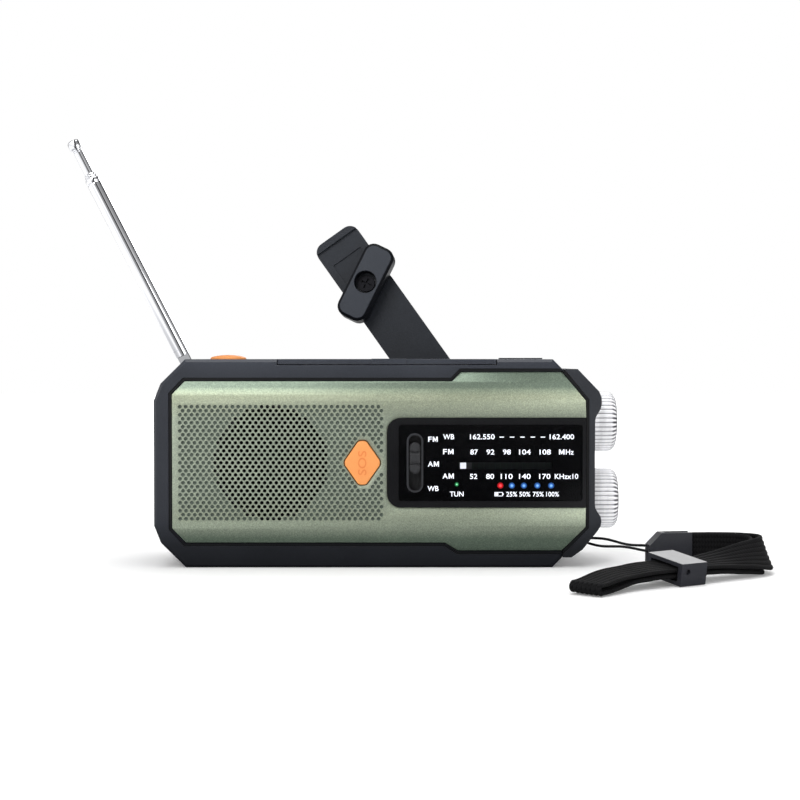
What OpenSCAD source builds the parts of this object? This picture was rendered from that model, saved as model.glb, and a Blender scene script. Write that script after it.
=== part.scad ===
// Emergency radio: hand-crank generator, flip-up solar lid, telescopic aerial,
// wrist strap.  X to the right, Y to the back, Z up, millimetres.
// Origin: on the base plane, under the middle of the case.

/* [Case] */
// Depth of the case, front to back
body_depth = 46; // [46:0.5:48]
// Wall thickness of the mouldings
wall = 2.2; // [2:0.1:2.4]
// Gap around the inlaid front panel
panel_gap = 0.2; // [0.1:0.05:0.3]
// Size of the edge chamfers on the two shells
edge = 1.0; // [0.4:0.1:1.4]

/* [Front] */
// Diameter of the holes over the loudspeaker
grille_hole_d = 1.7; // [1:0.1:1.8]
// Width of the alarm button
sos_width = 12.3; // [11:0.1:12.6]
// Height of the alarm button
sos_height = 15.3; // [14:0.1:15.6]
// Starting height of the band switch slider
switch_z = 38.2; // [34:0.1:40]

/* [Knobs] */
// Outer diameter of both knobs
knob_d = 21.5; // [20:0.1:22]
// Number of grip ribs on each knob
knob_ribs = 40; // [24:1:44]
// Shaft diameter of both controls
shaft_d = 6; // [5:0.5:6]

/* [Aerial] */
// Lean of the aerial to the left of upright, in degrees
aerial_lean = 27.1; // [10:0.1:40]
// Outer diameter of the thickest tube
tube_d = 5.3; // [5.1:0.1:5.4]

/* [Crank] */
// Turn of the crank to the left of upright, in degrees
crank_turn = 35.3; // [0:0.1:60]
// Lift of the crank arm off the back, in degrees
crank_lift = 8; // [7:0.5:12]
// Length from the hinge to the end of the arm
arm_length = 91.2; // [89:0.1:93]
// Width of the arm
arm_width = 18.8; // [18:0.1:20]
// Turn of the grip from upright, to the right, in degrees
grip_turn = 26; // [0:1:90]

/* [Strap] */
// Width of the webbing
web_width = 12; // [10:0.5:13]
// Thickness of the webbing
web_thickness = 1.3; // [1:0.1:1.4]

/* [Hidden] */
$fn = 48;
sliver = 0.01;
// planes across the depth, all Y
front = -body_depth / 2;
back = body_depth / 2;
split = -1;                  // back edge of the front shell
rear_split = split + 0.02;   // front edge of the rear shell
board_y = front + 9;         // front face of the main board
parts_back = board_y - 0.02; // back of the parts in front of the board
// places as [X, Z]
hub_at = [35.1, 45.9];
speaker_at = [-35.9, 36.5];
sos_at = [-4.4, 36.5];
switch_at = [13.9, 36.5];
green_at = [28.5, 28.9];
led_row = [for (x = [43.7, 47.7, 51.9, 56.6, 61.4]) [x, 28.45]];
screws = [[-68, 12], [-68, 53], [59.5, 63], [60, 9.2]];
door_screw_at = [11, 16];
// places as [Y, Z]
tuning_at = [0, 50];
volume_at = [0, 22.3];
controls = [tuning_at, volume_at];
torch_at = [0, 36];
lid_hinge_at = [9, 70.9];
// places as [X, Y]
lamp_at = [-52.4, -8.5];
eye_at = [70.4, -6];
aerial_at = [-70, 16.1, 70]; // aerial pivot, X, Y and Z
// ranges, from and to
lid_x = [-33.8, 42.1];
cell_panel_x = [-27.4, 35.4];
cell_panel_y = [-19.4, 5.4];
door_x = [-62, 13];
door_z = [4.5, 27.5];
door_plug_x = [-57.7, 8.7];
door_plug_z = [6.8, 25.2];

black = [0.22, 0.23, 0.25];
orange = [0.97, 0.6, 0.33];
knob_silver = [0.85, 0.85, 0.87];
chrome = [0.85, 0.86, 0.88];
strap_grey = [0.24, 0.24, 0.27];

// ---------- outlines, anticlockwise, as [X, Z] ----------
case_pts = [[-66, 0], [61.8, 0], [65.2, 3.5], [65.2, 69.05], [61.8, 72.5], [-66, 72.5],
    [-74.6, 64], [-77, 58], [-77, 14.5], [-74.6, 8.5]];
cap_pts = [[65.4, 3.5], [68.4, 3.5], [72.2, 6.2], [77.6, 12.9], [78.5, 14.4], [78.8, 16.1],
    [78.5, 17.7], [77.4, 19.4], [76.7, 20.6], [76.5, 22], [76.5, 51], [76.7, 52.3],
    [77.4, 53.5], [78.5, 55.4], [78.8, 57.2], [78.7, 59.3], [77.9, 61.3], [70.4, 69.1],
    [65.4, 69.1]];
panel_pts = [[-66, 8.3], [24.3, 8.3], [28.8, 5.5], [65.2, 5.5], [73.6, 14], [73.6, 58.2],
    [65.2, 68.4], [29.8, 68.4], [26.7, 65.2], [-66.3, 65.2], [-70.9, 60.4], [-70.9, 13.5]];

// Polygon moved inwards by distance on every side
function inset(pts, distance) = [for (i = [0 : len(pts) - 1])
    let (before = pts[(i + len(pts) - 1) % len(pts)],
         here = pts[i],
         after = pts[(i + 1) % len(pts)],
         side_in = unit(here - before),
         side_out = unit(after - here),
         normal_in = [-side_in[1], side_in[0]],
         normal_out = [-side_out[1], side_out[0]])
    here + distance * (normal_in + normal_out) / (1 + normal_in * normal_out)];

// ---------- helpers; ranges are [from, to] ----------
function unit(v) = v / norm(v);
function span(half, middle = 0) = [middle - half, middle + half];
function widen(range, gap) = range + [-gap, gap];

module box(x, y, z) translate([x[0], y[0], z[0]]) cube([x[1] - x[0], y[1] - y[0], z[1] - z[0]]);
// Extrudes an X-Z outline over the range y
module prism(y) translate([0, y[1], 0]) rotate([90, 0, 0])
    linear_extrude(height = y[1] - y[0]) children();
// Round bars along each axis, placed by the other two coordinates
module bar_x(at, r, x) translate([x[0], at[0], at[1]]) rotate([0, 90, 0])
    cylinder(r = r, h = x[1] - x[0]);
module bar_y(at, r, y) translate([at[0], y[0], at[1]]) rotate([-90, 0, 0])
    cylinder(r = r, h = y[1] - y[0]);
module bar_z(at, r, z) translate([at[0], at[1], z[0]]) cylinder(r = r, h = z[1] - z[0]);
module at_xz(at) translate([at[0], 0, at[1]]) children();
// Upright slot with round ends
module slot(width, height) {
    square([width, height - width], center = true);
    for (side = [-1, 1]) translate([0, side * (height - width) / 2]) circle(d = width);
}
module round_rect(x, z, r) translate([x[0], z[0]]) {
    width = x[1] - x[0];
    height = z[1] - z[0];
    translate([r, 0]) square([width - 2 * r, height]);
    translate([0, r]) square([width, height - 2 * r]);
    for (cx = [r, width - r], cz = [r, height - r]) translate([cx, cz]) circle(r = r);
}
// Outline of the alarm button, a blunt rounded diamond, grown by grow all round
module diamond(grow = 0) {
    corner_r = 1.6;
    hull() for (a = [-1, 1], b = [-1, 1]) {
        translate([a * (sos_width / 2 - corner_r), b * 0.25])
            circle(r = corner_r + grow, $fn = 24);
        translate([a * 0.52, b * (sos_height / 2 - corner_r)])
            circle(r = corner_r + grow, $fn = 24);
    }
}
// Cross recess of a screw head, 2 deep from y
module cross_slot(length, width, y) for (turn = [0, 90]) rotate([0, turn, 0])
    box(span(length / 2), [y, y + 2], span(width / 2));

// ---------- shells ----------
module case_front() hull() {
    prism([front, front + sliver]) polygon(inset(case_pts, edge));
    prism([front + edge, split]) polygon(case_pts);
}
module case_rear() hull() {
    prism([back - sliver, back]) polygon(inset(case_pts, edge));
    prism([rear_split, back - edge]) polygon(case_pts);
}
module lid_bed(y) box([-36, 44.5], y, [67, 70.8]);
// Shallow seat of the lid, its hinge trough and the pocket under its lamp
module lid_seat() {
    seat_x = widen(lid_x, 0.3);
    box(seat_x, [front - 1, 7.6], [70.5, 80]);
    box([-28, 36], [-20, 5], [69.4, 80]);
    box(seat_x, [7.1, 11.1], [69.1, 80]);
}
module torch_hole() bar_x(torch_at, 12.5, [-80, -70]);
module shaft_holes() for (at = controls) bar_x(at, 4.5, [60, 67]);
// Opening for the front panel and the shallow rebate round it;
// extend lengthens the right end of the rebate
module panel_seat(extend = 0) {
    prism([front - 1, front + wall]) polygon(panel_pts);
    prism([front - 1, front + 0.6])
        polygon(inset([for (p = panel_pts) [p[0] > 65 ? p[0] + extend : p[0], p[1]]], -0.9));
}

module front_housing() color(black) difference() {
    union() {
        difference() {
            case_front();
            prism([front + 4.2, split + 1]) polygon(inset(case_pts, wall));
        }
        lid_bed([front + 3, split]);
        for (at = screws) bar_y(at, 3.2, [front + 4, split]);
        // ring that locates the loudspeaker
        difference() {
            bar_y(speaker_at, 23, [front + 4, front + 6.5]);
            bar_y(speaker_at, 21.7, [front + 3, front + 8]);
        }
    }
    panel_seat(20);
    through = [front, front + 5];
    bar_y(speaker_at, 19.8, through);
    lid_seat();
    torch_hole();
    at_xz(sos_at) prism(through) diamond(0.25);
    box([26.5, 66], through, [30.8, 40.2]);         // pointer carriage
    at_xz(switch_at) prism(through) slot(5.4, 21);
    for (at = led_row) bar_y(at, 1.4, through);
    bar_y(green_at, 1.2, through);
    bar_z(lamp_at, 6.5, [60, 80]);
    for (at = screws) bar_y(at, 1.22, [split - 9, split + 1]);
    shaft_holes();
}

module rear_housing() color(black) {
    rear_shell();
    box([45.6, 61.2], [12, 21], [72.0, 72.95]);     // low rib on the top
}
module rear_shell() difference() {
    union() {
        difference() {
            case_rear();
            prism([split - 1, back - wall]) polygon(inset(case_pts, wall));
        }
        lid_bed([rear_split, 13]);
        for (at = screws) bar_y(at, 3.2, [rear_split, back - 1]);
        // walls of the aerial corner and its stowing groove
        intersection() {
            case_rear();
            box([-80, -61], [7, 24], [60, 80]);
        }
        box([-63, 30], [11.1, 21.4], [64.8, 72]);
        // walls of the grip pocket
        prism([back - 9.4, back - 1]) round_rect([-51, -13.4], [36.6, 55.2], 3);
    }
    lid_seat();
    torch_hole();
    // aerial corner and groove
    box([-90, -63], [9, 30], [62, 80]);
    box([-64, 28], [12.6, 19.6], [66.8, 80]);
    bar_z(aerial_at, 2.05, [58, 68]);
    // grip pocket
    prism([back - 7.4, back + 1]) round_rect([-49.2, -15.2], [38.4, 53.4], 3);
    // crank shaft bore
    bar_y(hub_at, 4.05, [back - 4, back + 1]);
    // battery door opening and its shallow seat
    prism([back - 5, back + 1]) round_rect(widen(door_plug_x, 0.3), widen(door_plug_z, 0.3), 1);
    prism([back - 1.1, back + 1]) round_rect(widen(door_x, 0.2), widen(door_z, 0.2), 2);
    // charging port seat and opening
    prism([back - 1, back + 1]) round_rect([37.4, 54.6], [7, 20.9], 1.5);
    prism([back - 5, back + 1]) round_rect([39, 53], [9.5, 18.5], 1);
    for (at = screws) {
        bar_y(at, 1.32, [split, back + 1] - [1, 0]);
        bar_y(at, 2.8, [back - 3, back + 1]);
    }
    shaft_holes();
    bar_y(door_screw_at, 1.1, [back - 6, back + 1]);
}

module side_cap() color([0.19, 0.2, 0.22]) difference() {
    prism([front + 0.15, back - 0.15]) polygon(cap_pts);
    panel_seat();
    box([60, 74.2], [front + 4.4, back - wall], [14, 62]);      // hollow behind the knobs
    for (at = controls) {
        bar_x(at, 3.3, [70, 80]);
        // the ears stand in front of and behind the knobs
        bar_x(at, knob_d / 2 + 0.45, [76.6, 80]);
    }
    // strap eye: open pocket with an upright bar
    difference() {
        box([66.8, 90], [-15, 1], [6.4, 11.2]);
        bar_z(eye_at, 1.1, [0, 20]);
    }
}

// Crowned section of the front panel: distance behind the front plane, Z
panel_crown = [[2.1, 0], [2.1, 75], [1.6, 75], [1.3, 68.4], [0.8, 64.5], [0.45, 60],
    [0.3, 54], [0.3, 19], [0.45, 13], [0.8, 9], [1.3, 5.5], [1.6, 0]];
grille_pitch_x = 4.06;
grille_pitch_z = 2.79;
grille_r = 18.6;
module front_panel() color([0.6, 0.64, 0.52]) difference() {
    intersection() {
        prism([front, front + 3]) polygon(inset(panel_pts, panel_gap));
        translate([-80, front, 0]) rotate([90, 0, 90])
            linear_extrude(height = 160) polygon(panel_crown);
    }
    through = [front - 1, front + 4];
    prism(through) round_rect([4.1, 80], [20.8, 52.25], 4.8);
    at_xz(sos_at) prism(through) diamond(0.35);
    // holes over the loudspeaker, in staggered rows
    for (i = [-5 : 5], j = [-7 : 7])
        let (hole = [(i + (j % 2 == 0 ? 0 : 0.5)) * grille_pitch_x, j * grille_pitch_z])
        if (norm(hole) < grille_r) bar_y(speaker_at + hole, grille_hole_d / 2, through);
}

// ---------- dial ----------
module window_bezel() color([0.06, 0.06, 0.07]) difference() {
    prism([front - 0.5, front + 2.15]) intersection() {
        round_rect([4.3, 80], [21, 52.05], 4.6);
        square([73.35, 80]);
    }
    prism([front - 1, front + 1.2]) round_rect([8.2, 72.1], [23.2, 49.8], 1.2);
    prism([front + 1, front + 3]) round_rect([7.4, 72.6], [22.6, 50.4], 1);
}
module dial_window() color([0.1, 0.1, 0.12, 0.5]) difference() {
    prism([front + 0.1, front + 1.1]) round_rect([8.4, 71.9], [23.4, 49.6], 1);
    at_xz(switch_at) prism([front - 1, front + 2]) slot(6.1, 21);
}
module dial_plate() color([0.04, 0.04, 0.05]) difference() {
    union() {
        prism([front + 1.25, front + 2.15]) round_rect([7.6, 72.4], [22.8, 50.2], 0.8);
        at_xz(switch_at) prism([front - 0.25, front + 2.15]) slot(5.8, 20.7);
    }
    at_xz(switch_at) prism([front - 1, front + 3]) slot(4.4, 19.3);
    box([29.3, 61.7], [front, front + 3], [34.2, 36.6]);
    for (at = led_row) bar_y(at, 1.15, [front, front + 5]);
    bar_y(green_at, 0.8, [front, front + 5]);
}
module tuning_pointer() color("white") {
    box([29.65, 31.75], [front + 1.4, front + 2.5], [34.35, 36.45]);
    box([27.7, 33.7], [front + 2.4, front + 3.6], [32.2, 38.6]);
}
module band_switch() color([0.12, 0.12, 0.13]) at_xz([switch_at[0], switch_z]) {
    difference() {
        prism([front - 0.15, front + 5.2]) slot(3.7, 10.9);
        for (z = [-2.2, 2.2])
            prism([front - 1, front + 0.5]) translate([0, z]) square([5, 0.7], center = true);
    }
    prism([front - 0.6, front + 1]) square([3.2, 2.6], center = true);
    for (z = [-3.6, 3.6]) prism([front - 0.45, front + 1]) translate([0, z]) circle(d = 2.8);
}
module board_switches() color([0.3, 0.3, 0.3]) {
    // band switch body behind the slider
    box(span(4, switch_at[0]), [front + 5.6, parts_back], [26, 48]);
    // keys under the alarm and lamp buttons
    box(span(3, sos_at[0]), [front + 7, parts_back], span(3, sos_at[1]));
    bar_y(sos_at, 1.7, [front + 6.4, front + 7.5]);
    box([-53.7, -47.7], span(3, lamp_at[1]), [63.02, 66.4]);
    bar_z(lamp_at, 1.7, [66, 67.6]);
}
module led(at, r = 1) bar_y(at, r, [front + 1.5, parts_back]);
module led_red() color("red") led(led_row[0]);
module led_blue() color("dodgerblue") for (i = [1 : 4]) led(led_row[i]);
module led_green() color("lime") led(green_at, 0.7);

// ---------- buttons ----------
module sos_button() color(orange) at_xz(sos_at) {
    prism([front - 0.5, front + 5]) diamond();
    prism([front + 4.35, front + 5.1]) diamond(0.75);
}
module lamp_button() color(orange) translate([lamp_at[0], lamp_at[1], 0]) {
    dome_r = 24;
    bar_z([0, 0], 7.2, [68.9, 70.1]);
    // cap with a domed top
    difference() {
        bar_z([0, 0], 6.35, [68.9, 74.9]);
        difference() {
            bar_z([0, 0], 9, [60, 80]);
            translate([0, 0, 74 - dome_r]) sphere(r = dome_r, $fn = 96);
        }
    }
}

// ---------- knobs ----------
// One grip rib: fraction of the rib pitch, height above the root
rib_profile = [[0, 0], [0.18, 0.55], [0.5, 0.7], [0.82, 0.55]];
rib_depth = 0.7;
knob_pts = [for (i = [0 : knob_ribs - 1], p = rib_profile)
    let (angle = 360 / knob_ribs * (i + p[0]))
    (knob_d / 2 - rib_depth + p[1]) * [cos(angle), sin(angle)]];
module knob(at, outer_x) translate([0, at[0], at[1]]) difference() {
    knob_r = knob_d / 2;
    inner_x = 76.9;
    turned_x = 76;           // start of the turned outline
    height = outer_x - turned_x;
    intersection() {
        translate([inner_x, 0, 0]) rotate([0, 90, 0])
            linear_extrude(height = outer_x - inner_x) polygon(knob_pts);
        translate([turned_x, 0, 0]) rotate([0, 90, 0]) rotate_extrude($fn = 96)
            polygon([[0, 0], [knob_r + 1, 0], [knob_r + 1, height - 2.6],
                [knob_r - 0.2, height - 1.8], [knob_r - 1.0, height - 0.5],
                [knob_r - 2, height], [0, height]]);
    }
    bar_x([0, 0], shaft_d / 2 + 0.01, [70, 84]);
    bar_x([0, 0], 8.3, [outer_x - 0.5, outer_x + 1]);
}
module tuning_knob() color(knob_silver) knob(tuning_at, 86.2);
module volume_knob() color(knob_silver) knob(volume_at, 86.8);
module shaft(at) bar_x(at, shaft_d / 2, [60.6, 83.9]);
module shaft_bore(at) bar_x(at, shaft_d / 2 + 0.05, [60.5, 70]);
module tuning_shaft() color("silver") shaft(tuning_at);
module volume_shaft() color("silver") shaft(volume_at);
module tuning_capacitor() color([0.75, 0.73, 0.65]) difference() {
    box([45.5, 62.9], [-9, 8.3], [41, 59.4]);
    shaft_bore(tuning_at);
}
module volume_potentiometer() color([0.55, 0.55, 0.58]) difference() {
    union() {
        bar_x(volume_at, 8, [55.4, 62.9]);
        box([55.4, 56.9], [-8, 8], [14.6, 20]);
    }
    shaft_bore(volume_at);
}

// ---------- lid ----------
module solar_lid() color([0.2, 0.21, 0.23]) difference() {
    union() {
        box(lid_x, [front + 0.3, 6.9], [70.75, 72.55]);
        box([-1.2, 10.8], [front - 0.15, front + 4], [70.75, 72.7]);   // finger tab
        // hinge knuckles
        for (x = [-32, 32]) {
            box([x, x + 8], [6, lid_hinge_at[0]], [70.75, 72.35]);
            bar_x(lid_hinge_at, 1.5, [x, x + 8]);
        }
    }
    box(widen(cell_panel_x, 0.1), widen(cell_panel_y, 0.1), [71.9, 80]);
    bar_x(lid_hinge_at, 0.85, [-40, 50]);
}
module solar_panel() color([0.08, 0.1, 0.2]) box(cell_panel_x, cell_panel_y, [71.92, 72.5]);
module lamp_diffuser() color([0.95, 0.95, 0.9]) translate([0, 0, 69.7])
    linear_extrude(height = 1.03) round_rect([-26, 34], [-17.5, -5.5], 2);
module lid_hinge_pin() color("silver") bar_x(lid_hinge_at, 0.8, lid_x);

// ---------- aerial ----------
tube_wall = 0.25;
tube_step = 0.3;             // drop in radius from each tube to the next
// Frame at the pivot, Z along the aerial
module aerial() translate(aerial_at) rotate([0, -aerial_lean, 0]) children();
module antenna_base() color("silver") translate([aerial_at[0], aerial_at[1], 0]) difference() {
    pivot = [0, aerial_at[2]];
    union() {
        bar_z([0, 0], 2, [59.2, 62.2]);
        bar_z([0, 0], 4.2, [62.1, 64.7]);
        // two cheeks around the foot
        for (side = [-1, 1]) {
            cheek_y = span(0.95, side * 2.25);
            box(span(2.6), cheek_y, [64.6, aerial_at[2]]);
            bar_y(pivot, 2.6, cheek_y);
        }
    }
    bar_y(pivot, 1.02, span(5));
}
module antenna_foot() color("silver") aerial() difference() {
    union() {
        bar_y([0, 0], 2.4, span(1.2));
        box(span(2.1), span(1.2), [0, 5.2]);
        bar_z([0, 0], tube_d / 2, [4.2, 6.6]);
        bar_z([0, 0], tube_d / 2 - tube_wall - 0.02, [6.5, 9.5]);
    }
    bar_y([0, 0], 1.05, span(5));
}
module antenna_rivet() color("silver") translate(aerial_at) {
    bar_y([0, 0], 1, span(3.2));
    for (side = [-1, 1]) bar_y([0, 0], 1.7, span(0.33, side * 3.55));
}
// Tube number index, counted from 0 at the thickest
module tube(index, z) color(chrome) aerial() difference() {
    outer_r = tube_d / 2 - index * tube_step;
    bar_z([0, 0], outer_r, z);
    bar_z([0, 0], outer_r - tube_wall, widen(z, 1));
}
module antenna_section_1() tube(0, [6.65, 78]);
module antenna_section_2() tube(1, [10, 78.9]);
module antenna_section_3() tube(2, [11, 79.8]);
module antenna_section_4() color(chrome) aerial() {
    bar_z([0, 0], tube_d / 2 - 3 * tube_step, [12, 90]);
    translate([0, 0, 89.9]) rotate_extrude()
        polygon([[0, 0], [1.9, 0], [2.35, 0.5], [2.35, 2.8], [1.7, 3.5], [0, 3.6]]);
}

// ---------- crank ----------
grip_from_hinge = 67.3;      // hinge pin to grip screw
fork_gap = 10;               // between the two cheeks of the arm
// Frame at the hinge pin, Z along the crank; then lifted off the back
module crank() translate([hub_at[0], back + 6, hub_at[1]]) rotate([0, -crank_turn, 0]) children();
module lifted() crank() rotate([-crank_lift, 0, 0]) children();
module crank_hub() color(black) difference() {
    union() {
        bar_y(hub_at, 10.5, [back + 0.15, back + 2.6]);
        bar_y(hub_at, 4, [back - 12.5, back + 1]);
        crank() {
            box(span(4.9), [-3.6, 0], span(2.9));
            bar_x([0, 0], 2.9, span(4.9));
        }
    }
    crank() bar_x([0, 0], 1.26, span(15));
    // two flats on the shaft, which drive the gear
    at_xz(hub_at) for (side = [-1, 1])
        box(span(1, side * 4.3), [back - 13, back - 4.5], span(5));
}
module crank_hinge_pin() color("silver") crank() bar_x([0, 0], 1.2, span(8.6));
module crank_arm() color(black) lifted() difference() {
    union() {
        intersection() {
            prism([-3.2, 3]) round_rect(span(arm_width / 2), [4.2, arm_length], 4);
            // thick root, thin middle and a lip at the end
            union() {
                box(span(20), [-3.2, 3], [0, 64.7]);
                box(span(20), [-1.4, 3], [60, 100]);
                box(span(20), [-2.6, 3], [arm_length - 2.6, 100]);
            }
        }
        // fork cheeks around the hub
        for (x = [[-arm_width, -fork_gap] / 2, [fork_gap, arm_width] / 2]) {
            bar_x([0, 0], 3, x);
            box(x, [-3, 3], [0, 9]);
        }
    }
    box(span(fork_gap / 2), [-10, 10], [-5, 4.6]);
    // shallow pocket in the inner face
    box(span(6.4), [-5, -0.9], [67, arm_length - 9.5]);
    bar_x([0, 0], 1.22, span(15));
    bar_y([0, grip_from_hinge], 1.6, [-8, 2]);
}
// Frame at the grip screw, Z along the grip
module grip_frame() lifted() translate([0, 0, grip_from_hinge])
    rotate([0, crank_turn + grip_turn, 0]) children();
// Rounded rectangle about the origin, six steps to a corner
function grip_pts(half_x, half_z, r) = [for (quarter = [0 : 3], i = [0 : 6])
    let (angle = (quarter + i / 6) * 90,
         side_x = quarter == 0 || quarter == 3 ? 1 : -1,
         side_z = quarter < 2 ? 1 : -1)
    [side_x * (half_x - r) + r * cos(angle), side_z * (half_z - r) + r * sin(angle)]];
module crank_grip() color([0.25, 0.26, 0.28]) grip_frame() difference() {
    union() {
        hull() {
            prism([-11.4, -3.8]) polygon(grip_pts(6, 15, 4));
            prism([-12.4, -12.39]) polygon(grip_pts(5, 14, 3));
        }
        bar_y([0, 0], 4, [-4.4, -3.4]);
    }
    bar_y([0, 0], 1.68, [-20, 0]);
    bar_y([0, 0], 4.2, [-26.6, -6.6]);
}
module grip_screw() color("silver") grip_frame() difference() {
    union() {
        bar_y([0, 0], 1.6, [-6.8, 1.9]);
        bar_y([0, 0], 3.1, [-8.5, -6.7]);
    }
    cross_slot(4, 0.8, -9.5);
}

// ---------- gear train ----------
drive_size = 0.7;            // gear module (pitch diameter per tooth), drive gear to idler
drive_teeth = 48;
idler_small_teeth = 12;
pinion_size = 0.6;           // gear module, idler to pinion
idler_large_teeth = 40;
pinion_teeth = 10;
pressure_angle = 20;
tooth_play = 0.12;
pinion_angle = 210;          // direction from the idler to the generator
function centre_distance(size, teeth_sum) = size * teeth_sum / 2 + 0.08;
idler_at = hub_at - [centre_distance(drive_size, drive_teeth + idler_small_teeth), 0];
generator_at = idler_at + centre_distance(pinion_size, idler_large_teeth + pinion_teeth)
    * [cos(pinion_angle), sin(pinion_angle)];

function involute(angle) = tan(angle) * 180 / PI - angle;
// Half the angle of a tooth at a radius
function half_tooth(teeth, size, radius) =
    let (pitch_r = teeth * size / 2,
         base_r = pitch_r * cos(pressure_angle),
         flank_r = max(radius, base_r + sliver))
    90 / teeth - tooth_play / pitch_r * 90 / PI
        + involute(pressure_angle) - involute(acos(base_r / flank_r));
// Each tooth goes up one flank, from root to tip, and down the other
function gear_pts(teeth, size) =
    let (radii = [for (k = [-1.2, -0.45, 0, 0.45, 0.85]) teeth * size / 2 + k * size])
    [for (i = [0 : teeth - 1], side = [-1, 1], k = [0 : 4])
        let (r = radii[side < 0 ? k : 4 - k],
             angle = 360 / teeth * i + side * half_tooth(teeth, size, r))
        r * [cos(angle), sin(angle)]];
// Gear with its axis along Y; the first tooth points at angle turn in the X-Z plane
module gear(teeth, size, at, turn, y)
    at_xz(at) prism(y) rotate(turn) polygon(gear_pts(teeth, size));

module drive_gear() color("ivory") difference() {
    union() {
        gear(drive_teeth, drive_size, hub_at, 180, [15.5, 18.5]);
        bar_y(hub_at, 7, [13.9, 15.6]);
    }
    // bore with two flats
    intersection() {
        bar_y(hub_at, 4.02, [10, 20]);
        box(span(3.32, hub_at[0]), [10, 20], span(5, hub_at[1]));
    }
}
module idler_gear() color("ivory") difference() {
    union() {
        gear(idler_small_teeth, drive_size, idler_at, 180 / idler_small_teeth, [14.1, 18.9]);
        gear(idler_large_teeth, pinion_size, idler_at, pinion_angle, [11.6, 14.2]);
    }
    bar_y(idler_at, 1.55, [0, 30]);
}
module generator_pinion() color("ivory") {
    gear(pinion_teeth, pinion_size, generator_at, pinion_angle + 180 + 180 / pinion_teeth,
        [11, 14.8]);
    bar_y(generator_at, 1.6, [8.2, 11.2]);
}
module generator_body() color([0.6, 0.6, 0.62]) difference() {
    union() {
        bar_y(generator_at, 12, [-6, 8.2]);
        bar_y(generator_at, 4, [8, 10.1]);
    }
    bar_y(generator_at, 1.65, [7, 12]);
}
gearbox_pts = [[-12, 50], [-12, 31], [8, 25.2], [40, 27.4], [58.5, 27.4], [58.5, 33.5],
    [49, 63], [-5, 63.2], [-12, 58]];
module gearbox_plate() color([0.82, 0.83, 0.84]) difference() {
    union() {
        prism([8.7, 10.2]) polygon(gearbox_pts);
        bar_y(idler_at, 1.5, [10, 20.2]);
        // posts to the back wall
        for (at = [[-6, 60], [12, 28.2], [55.6, 30.2]]) bar_y(at, 2, [10, back - wall]);
    }
    bar_y(generator_at, 4.1, [8, 11]);
}

// ---------- loudspeaker ----------
// Profiles: radius, distance behind the rim
basket_profile = [[21.5, 0], [21.5, 1.6], [20.2, 1.6], [12, 9.6], [5, 9.6], [5, 8.8],
    [11.6, 8.8], [19.4, 0.9], [19.4, 0]];
cone_profile = [[19.2, 0.1], [19.2, 0.6], [18, 0.9], [16.5, 0.4], [6, 7.4], [6, 8.4],
    [5, 8.4], [5, 6.4], [0, 4.9], [0, 4.4], [5.6, 5.9], [16.4, -0.1], [18, 0.2]];
module speaker_turn(profile) translate([speaker_at[0], front + 4.3, speaker_at[1]])
    rotate([-90, 0, 0]) rotate_extrude($fn = 72) polygon(profile);
module speaker_basket() color([0.35, 0.36, 0.38]) speaker_turn(basket_profile);
module speaker_cone() color([0.12, 0.12, 0.12]) speaker_turn(cone_profile);
module speaker_magnet() color("dimgray") bar_y(speaker_at, 11, [front + 14, front + 20]);

// ---------- boards, cell, ferrite aerial ----------
cell_at = [10.8, 16];        // Y and Z
rod_at = [2, 60.8];          // Y and Z
module main_pcb() color([0.1, 0.4, 0.2]) {
    difference() {
        box([-13, 62.6], [board_y, board_y + 1.6], [5, 66]);
        for (at = screws) bar_y(at, 3.6, [front, 0]);
    }
    box([-58, -44], [-16, -2], [61.4, 63]);         // small board under the lamp button
}
module battery_cell() color([0.2, 0.5, 0.75]) {
    bar_x(cell_at, 9, [-57, 7.2]);
    bar_x(cell_at, 3, [7, 8.2]);
}
module battery_cover() color(black) difference() {
    union() {
        prism([back - 1.05, back + 0.45]) round_rect(door_x, door_z, 1.9);
        prism([back - 2.15, back - 1]) round_rect(door_plug_x, door_plug_z, 0.9);
    }
    bar_y(door_screw_at, 1.3, [0, 30]);
    bar_y(door_screw_at, 1.9, [back - 0.4, 30]);
    // upright finger grooves
    for (i = [0 : 5]) prism([back + 0.15, back + 1])
        translate([-56 + i * 2.4, 16]) square([1, 12], center = true);
}
module ferrite_rod() color([0.25, 0.25, 0.27]) bar_x(rod_at, 4, [-10, 44]);
module ferrite_coil() color([0.75, 0.42, 0.2]) difference() {
    bar_x(rod_at, 5.1, [12, 27]);
    bar_x(rod_at, 4.05, [10, 30]);
}

// ---------- torch ----------
// Radius, X
reflector_profile = [[12.2, -75.2], [11.2, -75.2], [10.3, -72], [8.2, -67], [5, -63.4],
    [3, -62.6], [3, -61.4], [6, -61.4], [9.4, -65.4], [12.2, -72.5]];
module torch_reflector() color([0.9, 0.9, 0.92]) translate([0, torch_at[0], torch_at[1]])
    rotate([0, 90, 0]) rotate_extrude($fn = 72) polygon(reflector_profile);
module torch_led() color([1, 0.95, 0.7]) {
    bar_x(torch_at, 9, [-61.3, -59.8]);
    bar_x(torch_at, 2.4, [-61.5, -59.9]);
    bar_x(torch_at, 1.9, [-63.6, -61]);
}
module torch_lens() color([0.85, 0.9, 0.95, 0.4]) bar_x(torch_at, 12.3, [-76.8, -75.3]);

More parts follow.
